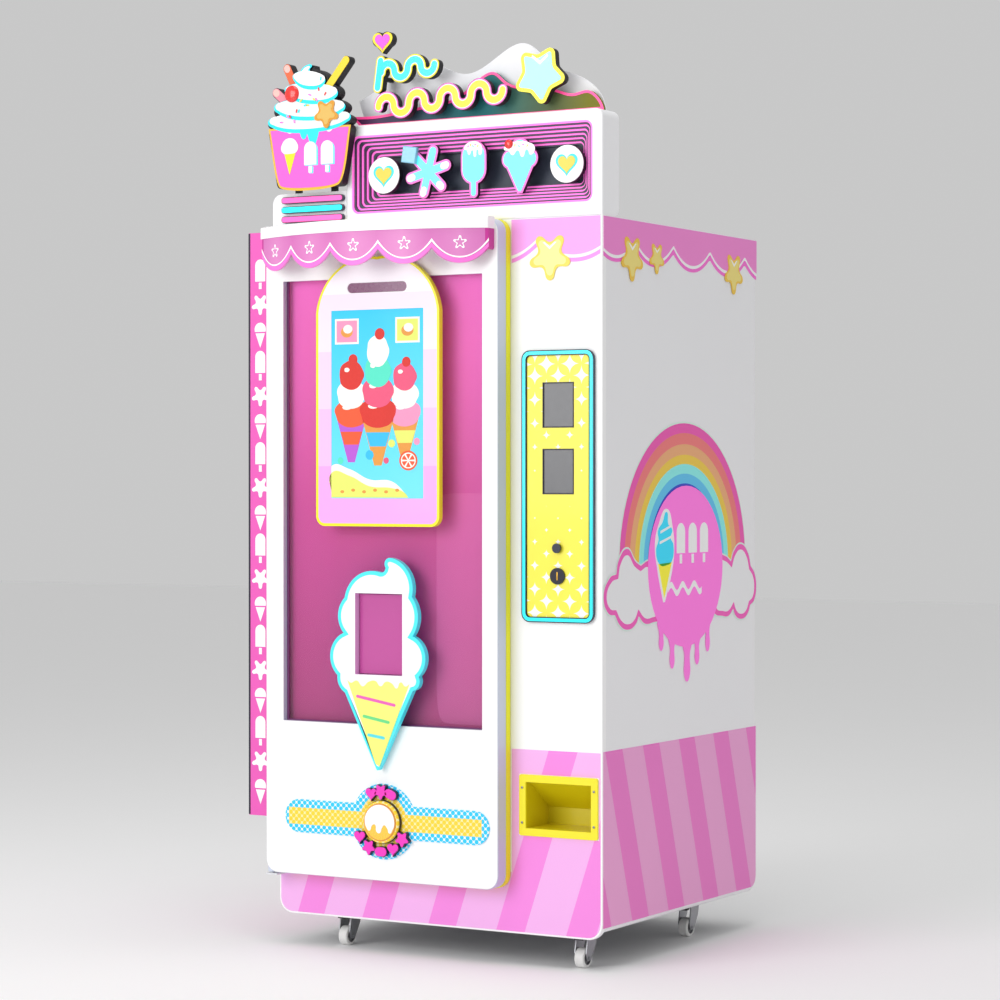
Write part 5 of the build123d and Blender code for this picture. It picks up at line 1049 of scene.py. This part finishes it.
def wrapped_strip(name, low, high, out, thickness, mat, x0=-1.0, x1=1.0):
    """A print strip along the valance between two heights, each a function of the share from -1 to 1."""
    runs = 150
    spots = [x0 + (x1 - x0) * n / runs for n in range(runs + 1)]
    reach_x = half_turn * bow_r
    bpy.ops.object.select_all(action="DESELECT")
    bpy.ops.mesh.primitive_grid_add(x_subdivisions=runs, y_subdivisions=1, size=2, location=(0, 0, 0),
                                    rotation=(math.pi / 2, 0, 0))
    piece = bpy.context.object
    piece.name = name
    apply_place(piece)
    for vertex in piece.data.vertices:
        share = spots[round((vertex.co.x + 1) / 2 * runs)]
        height = high(share) if vertex.co.z > 0 else low(share)
        vertex.co = spot(bow_mid + share * reach_x, -out, height)
    wrapped(piece)
    body = piece.modifiers.new("thickness", "SOLIDIFY")
    body.thickness = thickness / 1000
    body.offset = 0
    bpy.ops.object.modifier_apply(modifier=body.name)
    bpy.ops.object.mode_set(mode="EDIT")
    bpy.ops.mesh.select_all(action="SELECT")
    bpy.ops.mesh.normals_make_consistent(inside=False)
    bpy.ops.object.mode_set(mode="OBJECT")
    return fasten(piece, "front_door", mat)


def hem(share):
    """The valance's lower edge: five scallops, cusps upwards."""
    t = ((share + 1) / 2 * 5) % 1.0 * 2 - 1
    return 1650 + 39 * abs(t) ** 2.1


# The hem and line prints glow faintly: painted light on the valance.
hem_pink = finish("awning hem pink", tint(252, 122, 218), rough=0.34, mottle=0.05, glow=0.08)
line_white = finish("awning line white", tint(255, 255, 255), rough=0.34, mottle=0.03, glow=0.1)
wrapped_strip("awning_hem", lambda s: hem(s) + 1, lambda s: hem(s) + 12, 0.3, 0.4, hem_pink)
wrapped_strip("awning_line", lambda s: hem(s) + 13 + 2 * abs(((s + 1) / 2 * 5) % 1.0 * 2 - 1),
              lambda s: hem(s) + 17 + 6 * abs(((s + 1) / 2 * 5) % 1.0 * 2 - 1) ** 3, 0.4, 0.4, line_white)
gore_pitch = 2 * half_turn * bow_r / 5
star_up = 1701
for number in range(5):
    x = bow_mid + (number - 2) * gore_pitch
    loops = [inverted_star(x, star_up, 17, 9.5), inverted_star(x, star_up, 11.5, 6.2)]
    turned = [[(px, 2 * star_up - pz, soft) for px, pz, soft in loop] for loop in loops]
    fasten(wrapped(cut_sheet("awning_star_%d" % number, turned, 0.3, 0.4)), "front_door", line_white)

# ---- Screen surround.
# A yellow tub standing off the door carries a printed face with a purple camera slot, and the portrait display.
tub_mat = finish("screen tub yellow", tint(255, 250, 8), rough=0.3, mottle=0.05, coat=0.2)
dress(["screen_tub"], tub_mat)
face_mat = finish("screen face print", tint(255, 214, 252), rough=0.3, mottle=0.03, coat=0.2)
face_low, face_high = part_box("screen_face")
tree = face_mat.node_tree
x, y, z = object_axes(tree)
share = math_node(tree, "DIVIDE", math_node(tree, "SUBTRACT", z, face_low.z), face_high.z - face_low.z)
steps_up = math_node(tree, "DIVIDE", math_node(tree, "FLOOR", math_node(tree, "MULTIPLY", share, 4.6)), 4.0)
pattern(face_mat, blend_colours(tree, steps_up, tint(255, 172, 248), tint(255, 250, 255)))
dress(["screen_face"], face_mat)
camera_slot = finish("camera slot purple", tint(126, 66, 108), rough=0.2, grain=60, mottle=0.15, coat=0.5)
face_mid = (face_low.x + face_high.x - 2 * right) * 500
fasten(cut_sheet("camera_slot", [slot_outline(face_mid - 88.5, face_mid + 88.5, 1601, 12.5)], 84.1, 0.8),
       "front_door", camera_slot)

picture_low, picture_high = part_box("display_panel")
screen_mat = finish("display picture", tint(60, 225, 255), rough=0.35, grain=500, mottle=0.03, coat=0.15, glow=0.1)
tree = screen_mat.node_tree
x, y, z = object_axes(tree)
share = math_node(tree, "DIVIDE", math_node(tree, "SUBTRACT", z, picture_low.z), picture_high.z - picture_low.z)
pattern(screen_mat, blend_colours(tree, share, tint(104, 222, 244), tint(14, 200, 248)))
dress(["display_panel"], screen_mat)
px0, pz0 = (picture_low.x - right) * 1000, (picture_low.z - base) * 1000
pw, ph = (picture_high.x - picture_low.x) * 1000, (picture_high.z - picture_low.z) * 1000
skin = 85.4


def screen_tint(name, red, green, blue, glow=0.1, mottle=0.1):
    """A tone of the display's picture, faintly lit."""
    return finish(name, tint(red, green, blue), rough=0.4, grain=140, mottle=mottle, glow=glow)


cream_tones = {
    "mint": screen_tint("screen mint", 80, 226, 196), "berry": screen_tint("screen berry", 240, 84, 126, 0.1, 0.2),
    "choc": screen_tint("screen cherry", 226, 36, 18, 0.1, 0.25), "orange": screen_tint("screen orange", 240, 84, 34),
    "rose": screen_tint("screen rose", 250, 150, 190), "milk": screen_tint("screen milk", 255, 246, 236),
    "wafer": screen_tint("screen wafer", 240, 160, 62, 0.1, 0.25), "purple": screen_tint("screen purple", 184, 84, 210),
    "lime": screen_tint("screen lime", 230, 244, 110), "blue": screen_tint("screen blue", 40, 190, 238)}


def picture(name, outlines, layer, tone):
    """A patch of the display's picture, laid a hair above the one below."""
    fasten(cut_sheet("screen_" + name, outlines, skin + 0.06 * layer, 0.06),
           "front_door", cream_tones[tone])


for side in (-1, 1):
    cx_card = px0 + pw / 2 + side * pw * 0.33
    card = [(cx_card - 36, pz0 + ph * 0.82), (cx_card + 36, pz0 + ph * 0.82), (cx_card + 36, pz0 + ph * 0.955),
            (cx_card - 36, pz0 + ph * 0.955)]
    picture("card_%d" % side, [card], 0, "milk")
    picture("card_field_%d" % side, [shrink(card, 5)], 1, "rose" if side < 0 else "lime")
    picture("card_dish_%d" % side, [ring_spots(cx_card, pz0 + ph * 0.885, 18, 14)[:-1]], 2, "wafer")
    picture("card_cream_%d" % side, [ring_spots(cx_card + 3, pz0 + ph * 0.90, 14, 11)[:-1]], 3, "milk")


def treat(name, x, z, size, tones, layer):
    """A tall cone on the display: a wafer with a band, and scoops piled on it, each with a gleam, and a cherry on top.
    """
    wafer = [(x - 0.42 * size, z), (x + 0.42 * size, z), (x + 0.1 * size, z - 1.05 * size),
             (x - 0.1 * size, z - 1.05 * size)]
    picture(name + "_wafer", [wafer], layer, tones[0])
    band = [(x - 0.32 * size, z - 0.3 * size), (x + 0.32 * size, z - 0.3 * size), (x + 0.21 * size, z - 0.62 * size),
            (x - 0.21 * size, z - 0.62 * size)]
    picture(name + "_band", [band], layer + 1, tones[1])
    for number, tone in enumerate(tones[2:]):
        up = z + 0.16 * size + number * 0.46 * size
        wide = 0.48 * size * (1 - 0.13 * number)
        scoop = [(x + wide * math.cos(math.radians(a)) * (1 + 0.05 * math.sin(math.radians(5 * a + 40 * number))),
                  up + 0.36 * size * math.sin(math.radians(a)), 1) for a in range(0, 360, 24)]
        picture("%s_scoop_%d" % (name, number), [scoop], layer + 2 + number, tone)
        shine = [(x - 0.13 * size + (a - x) * 0.5, up + 0.13 * size + (b - up) * 0.35, 1)
                 for a, b, _ in shrink(scoop, 0.20 * size)]
        picture("%s_gleam_%d" % (name, number), [shine], layer + 2.5 + number, "milk")
    top = z + 0.16 * size + len(tones[2:]) * 0.46 * size - 0.08 * size
    picture(name + "_cherry", [ring_spots(x + 0.05 * size, top, 0.13 * size, 0.13 * size)[:-1]], layer + 6, "choc")


treat("left_cone", px0 + pw * 0.22, pz0 + ph * 0.42, 104, ("purple", "orange", "orange", "milk", "choc"), 1)
treat("right_cone", px0 + pw * 0.80, pz0 + ph * 0.42, 98, ("wafer", "lime", "rose", "milk", "berry"), 1)
treat("middle_cone", px0 + pw * 0.51, pz0 + ph * 0.42, 112, ("wafer", "blue", "choc", "berry", "mint", "milk"), 3)
dune = [(px0, pz0 + 12, 0), (px0, pz0 + ph * 0.17, 1), (px0 + pw * 0.2, pz0 + ph * 0.155, 1),
        (px0 + pw * 0.42, pz0 + ph * 0.10, 1), (px0 + pw * 0.66, pz0 + ph * 0.09, 1),
        (px0 + pw * 0.8, pz0 + ph * 0.03, 1), (px0 + pw * 0.84, pz0 + 2, 0), (px0, pz0 + 2, 0)]
picture("cream_dune", [dune], 8, "milk")
picture("cake_dune", [[(a, b - 17 if b > pz0 + 18 else b) + tuple(rest) for a, b, *rest in dune]], 9, "lime")
for number in range(6):
    crumb = ring_spots(px0 + pw * (0.12 + 0.12 * number), pz0 + ph * 0.035 + 4 * (number % 2), 6, 4)[:-1]
    picture("crumb_%d" % number, [crumb], 10, "wafer")
slice_x, slice_z = px0 + pw * 0.84, pz0 + ph * 0.20
picture("slice", [ring_spots(slice_x, slice_z, 27, 25)[:-1]], 8, "orange")
picture("slice_pith", [ring_spots(slice_x, slice_z, 22, 20)[:-1]], 9, "milk")
for number in range(6):
    wedge = [(slice_x + rx * math.cos(math.radians(60 * number + a)),
              slice_z + rz * math.sin(math.radians(60 * number + a)))
             for a, rx, rz in ((30, 3, 3), (8, 19, 17), (22, 19, 17), (38, 19, 17), (52, 19, 17))]
    picture("slice_wedge_%d" % number, [wedge], 10, "orange")
berries = ((0.10, 0.20, 9), (0.42, 0.23, 12), (0.60, 0.20, 8), (0.66, 0.29, 10), (0.93, 0.30, 9))
for number, (sx, sz, r) in enumerate(berries):
    picture("berry_%d" % number, [ring_spots(px0 + pw * sx, pz0 + ph * sz, r, r)[:-1]], 7,
            ("mint", "blue", "berry", "lime", "rose")[number])

# ---- Cone-shaped collection frame.
# Moulded acrylic: a cyan rim with a white cream face and a pale wafer set into it, round the collection port.
# The rim glows faintly: painted light on the moulding.
cone_mat = finish("cone rim cyan", tint(70, 236, 250), rough=0.25, mottle=0.05, coat=0.3, glow=0.1)
tree = cone_mat.node_tree
x, y, z = object_axes(tree)
port_mid, port_up, port_half, port_reach = right - 0.5965, base + 0.723, 0.077, 0.110
port_x = math_node(tree, "ABSOLUTE", math_node(tree, "SUBTRACT", x, port_mid))
port_z = math_node(tree, "ABSOLUTE", math_node(tree, "SUBTRACT", z, port_up))
in_port = math_node(tree, "MULTIPLY", math_node(tree, "LESS_THAN", port_x, port_half),
                    math_node(tree, "LESS_THAN", port_z, port_reach))
pattern(cone_mat, blend_colours(tree, in_port, tint(70, 236, 250), tint(222, 172, 218)))
dress(["cone_frame"], cone_mat)
cone_loops, cone_front = front_loops("cone_frame")
cone_line = thinned(cone_loops[0], 4.0)
cone_in = shrink(cone_line, 10)
port_loop = min((loop for loop in cone_loops if len(loop) < len(cone_loops[0])), key=len)
port_box = shrink(port_loop, -0.4)
cone_white = finish("cone cream", tint(255, 255, 255), rough=0.28, mottle=0.02)
fasten(cut_sheet("cone_cream", [cone_in, port_box], cone_front, 0.8), "front_door", cone_white)
cone_wafer = finish("cone wafer", tint(255, 255, 128), rough=0.3, mottle=0.05)
tip_run = [p for p in shrink(cone_line, 12.5) if p[1] < 430]
tip_run.sort()
wafer_outline = [(-504, 600), (-516, 594, 1), (-530, 604, 1), (-542, 588, 1), (-556, 600, 1), (-574, 604, 1),
                 (-590, 592, 1), (-606, 605, 1), (-626, 602, 1), (-644, 590, 1), (-662, 604, 1), (-680, 598, 1),
                 (-690, 604)]
fasten(cut_sheet("cone_wafer", [wafer_outline + tip_run], cone_front + 0.8, 0.8),
       "front_door", cone_wafer)
fold_mats = (finish("fold pink", tint(240, 100, 190), mottle=0.05),
             finish("fold green", tint(110, 226, 140), mottle=0.05),
             finish("fold cyan", tint(90, 226, 236), mottle=0.05))
for number, (x0, z0, x1, z1) in enumerate(((-663, 565, -545, 545), (-643, 515, -563, 501), (-629, 468, -577, 461))):
    length = math.hypot(x1 - x0, z1 - z0)
    turn = math.degrees(math.atan2(z1 - z0, x1 - x0))
    fasten(cut_sheet("cone_fold_%d" % number, [rod_outline((x0 + x1) / 2, (z0 + z1) / 2, length, 3.6, turn)],
                     cone_front + 1.6, 0.6, edge=0.2), "front_door", fold_mats[number])

# ---- Lower badge.
# A flat printed band with dots, a round medallion in the middle of it, a domed scoop and moulded pink charms.
badge_low, badge_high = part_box("badge")
badge_mid = (badge_low + badge_high) / 2
medal_x = badge_mid.x - 0.005
badge_mat = finish("badge print", tint(250, 252, 255), rough=0.3, mottle=0.03, coat=0.2)
tree = badge_mat.node_tree
x, y, z = object_axes(tree)
dx = math_node(tree, "SUBTRACT", x, medal_x)
dz = math_node(tree, "SUBTRACT", z, badge_mid.z)
out = math_node(tree, "SQRT", math_node(tree, "ADD", math_node(tree, "MULTIPLY", dx, dx),
                                        math_node(tree, "MULTIPLY", dz, dz)))
dot_pitch = 0.0172


def dots(shift):
    """One of the two staggered sets of dots."""
    cells = [math_node(tree, "SUBTRACT", math_node(tree, "FRACT", math_node(
        tree, "MULTIPLY_ADD", axis, 1 / dot_pitch, shift)), 0.5) for axis in (dx, dz)]
    squares = [math_node(tree, "MULTIPLY", cell, cell) for cell in cells]
    return math_node(tree, "LESS_THAN", math_node(tree, "ADD", *squares), 0.112)


dotted = math_node(tree, "MAXIMUM", dots(0.0), dots(0.5))
inside = math_node(tree, "MAXIMUM", math_node(tree, "MULTIPLY", math_node(
    tree, "LESS_THAN", math_node(tree, "ABSOLUTE", dz), 0.0215), math_node(tree, "LESS_THAN", math_node(
        tree, "ABSOLUTE", dx), 0.290)), math_node(tree, "LESS_THAN", out, 0.070))
outer_tone = blend_colours(tree, dotted, tint(246, 252, 255), tint(4, 206, 255))
inner_tone = blend_colours(tree, dotted, tint(255, 244, 176), tint(255, 216, 36))
pattern(badge_mat, blend_colours(tree, inside, outer_tone, inner_tone))
dress(["badge"], badge_mat)
mx, mz = (medal_x - right) * 1000, (badge_mid.z - base) * 1000
scoop_dark = finish("scoop side", tint(52, 34, 46), rough=0.4, mottle=0.15)
scoop_gold = finish("scoop caramel", tint(255, 206, 60), rough=0.2, mottle=0.08, coat=0.5)
scoop_rim = finish("scoop rim", tint(230, 150, 60), rough=0.3, mottle=0.1)
top_level = 82
band_level = 66.2
fasten(cut_sheet("scoop_wall", [ring_spots(mx, mz, 55, 55)[:-1], ring_spots(mx, mz, 53.5, 53.5)[:-1]], band_level, 9.0),
       "front_door", scoop_dark)
fasten(cut_sheet("scoop_rim", [ring_spots(mx, mz, 47.5, 47.5)[:-1]], top_level, 1.0, edge=0.4),
       "front_door", scoop_rim)
fasten(cut_sheet("scoop_base", [ring_spots(mx, mz, 44.5, 44.5)[:-1]], top_level + 1, 1.0, edge=0.4),
       "front_door", scoop_gold)
melt = [(mx + 44 * math.cos(math.radians(a)), mz + 44 * math.sin(math.radians(a)), 1) for a in range(-8, 190, 18)]
melt += [(mx - 38, mz - 16, 1), (mx - 30, mz - 22, 1), (mx - 22, mz - 8, 1), (mx - 13, mz - 6, 1), (mx - 8, mz - 24, 1),
         (mx, mz - 27, 1), (mx + 7, mz - 14, 1), (mx + 14, mz - 6, 1), (mx + 24, mz - 14, 1), (mx + 31, mz - 26, 1),
         (mx + 38, mz - 18, 1)]
fasten(cut_sheet("scoop_melt", [melt], top_level + 2, 1.2, edge=0.5), "front_door", cone_white)
# The pink charms glow faintly: painted light on the mouldings.
charm_pink = finish("charm pink", tint(240, 34, 190), rough=0.25, mottle=0.06, coat=0.4, glow=0.08)
charm_dark = finish("charm side", tint(30, 20, 60), rough=0.4, mottle=0.15)
for number, angle in enumerate((112, 90, 68, 212, 241, 270, 299, 328)):
    radius = 77 if number < 3 else 75
    x = mx + radius * math.cos(math.radians(angle))
    z = mz + radius * math.sin(math.radians(angle))
    if number % 3 == 0:
        shape = heart(x, z, 16)
    elif number % 3 == 1:
        shape = [(a, b) for a, b, _ in inverted_star(x, z, 19, 12)]
    else:
        shape = rod_outline(x, z, 34, 11, angle + 90)
    fasten(cut_sheet("charm_back_%d" % number, [shrink(shape, -1.6)], band_level, 12.0),
           "front_door", charm_dark)
    fasten(cut_sheet("charm_%d" % number, [shape], band_level + 12.0, 1.6, edge=0.5),
           "front_door", charm_pink)

# ---- Inside the cabinet.
# Bought-in works: a stainless freezing barrel with its hopper, head and auger, a hermetic compressor, a finned
# condenser with a fan, a cup carriage on rails and a steel control box.
stainless = finish("stainless", tint(196, 198, 202), rough=0.24, grain=60, mottle=0.25, metal=0.95, relief=0.05)
dress(["freezing_cylinder", "beater", "mix_hopper", "dispense_head", "carriage_rails"], stainless)
galvanised = finish("galvanised sheet", tint(186, 188, 192), rough=0.4, grain=35, mottle=0.4, metal=0.7, relief=0.08)
dress(["bulkhead", "control_box"], galvanised)
motor_grey = finish("motor grey", tint(110, 112, 118), rough=0.5, grain=160, mottle=0.35, relief=0.15)
dress(["beater_drive"], motor_grey)
black_enamel = finish("black enamel", tint(26, 26, 28), rough=0.35, grain=140, mottle=0.4, coat=0.3, relief=0.1)
dress(["compressor"], black_enamel)
fins = finish("fin aluminium", tint(178, 184, 190), rough=0.38, grain=260, mottle=0.3, metal=0.8)
dress(["condenser"], fins)
food_white = finish("food-grade white", tint(240, 240, 236), rough=0.4, grain=300, mottle=0.08)
dress(["draw_valve", "cup_carriage"], food_white)
fan_black = finish("fan black", tint(34, 34, 36), rough=0.45, grain=300, mottle=0.3)
dress(["fan_rotor", "rear_handle"], fan_black)

# ---- Power inlet.
# A black panel-mount inlet fills the slot at the foot of the rear frame: a flange, a hollow shell and three blades.
inlet_black = finish("inlet black", tint(26, 26, 28), rough=0.5, grain=300, mottle=0.2)
shell_inside = round_box(-869, -831, 53, 73, 4)
fasten(cut_sheet("inlet_flange", [round_box(-877, -823, 48, 78, 5), shell_inside], -882, 2, edge=0.4),
       "cabinet", inlet_black)
fasten(cut_sheet("inlet_shell", [round_box(-873.5, -826.5, 51.5, 74.5, 1.5), shell_inside], -880, 12),
       "cabinet", inlet_black)
fasten(rounded_block("inlet_floor", spot(-873.5, 864, 51.5), spot(-826.5, 868, 74.5), 0.0005),
       "cabinet", inlet_black)
for number, (x, z) in enumerate(((-859.5, 64), (-840.5, 64), (-850, 59.5))):
    blade = rounded_block("inlet_blade_%d" % number, spot(x - 1.1, 867, z - 2.8), spot(x + 1.1, 877, z + 2.8), 0.0004)
    fasten(blade, "cabinet", screw_steel)

# ---- Floor, lights and camera.
# A plain pale floor and soft studio light. The camera stands ahead of the machine, a little to its right.
bpy.ops.object.select_all(action="DESELECT")
bpy.ops.mesh.primitive_plane_add(size=40, location=(0, 0, 0))
floor = bpy.context.object
floor.name = "studio_floor"
floor_mat = finish("studio floor", tint(252, 252, 252), rough=0.6, grain=40, mottle=0.01, relief=0.0)
floor.data.materials.append(floor_mat)


def soft_light(name, place, aim, size, power):
    """A square studio light aimed at a point."""
    lamp = bpy.data.lights.new(name, "AREA")
    lamp.size = size
    lamp.energy = power
    holder = bpy.data.objects.new(name, lamp)
    bpy.context.scene.collection.objects.link(holder)
    holder.location = place
    holder.rotation_euler = (Vector(aim) - Vector(place)).to_track_quat("-Z", "Y").to_euler()
    return holder


key = soft_light("key", (-1.6, -5.6, 2.6), (0, 0, 1.15), 3.2, 132)
top_light = soft_light("top", (0.4, -1.2, 5.6), (0, 0, 1.0), 3.0, 70)

bpy.context.scene.view_settings.view_transform = "Standard"
world = bpy.data.worlds.new("studio")
bpy.context.scene.world = world
world.use_nodes = True
world.node_tree.nodes["Background"].inputs["Color"].default_value = (1.0, 1.0, 1.0, 1.0)
world.node_tree.nodes["Background"].inputs["Strength"].default_value = 0.58

azimuth, elevation = math.radians(30.357), math.radians(0.408)
back = Vector((math.sin(azimuth) * math.cos(elevation), -math.cos(azimuth) * math.cos(elevation), math.sin(elevation)))
across = Vector((math.cos(azimuth), math.sin(azimuth), 0))
upward = back.cross(across)
lens = bpy.data.cameras.new("front camera")
lens.lens = 103.24
lens.sensor_width = 36
viewer = bpy.data.objects.new("front camera", lens)
bpy.context.scene.collection.objects.link(viewer)
viewer.matrix_world = Matrix(((across.x, upward.x, back.x, 3.8627), (across.y, upward.y, back.y, -6.5504),
                              (across.z, upward.z, back.z, 1.2116), (0, 0, 0, 1)))
bpy.context.scene.camera = viewer
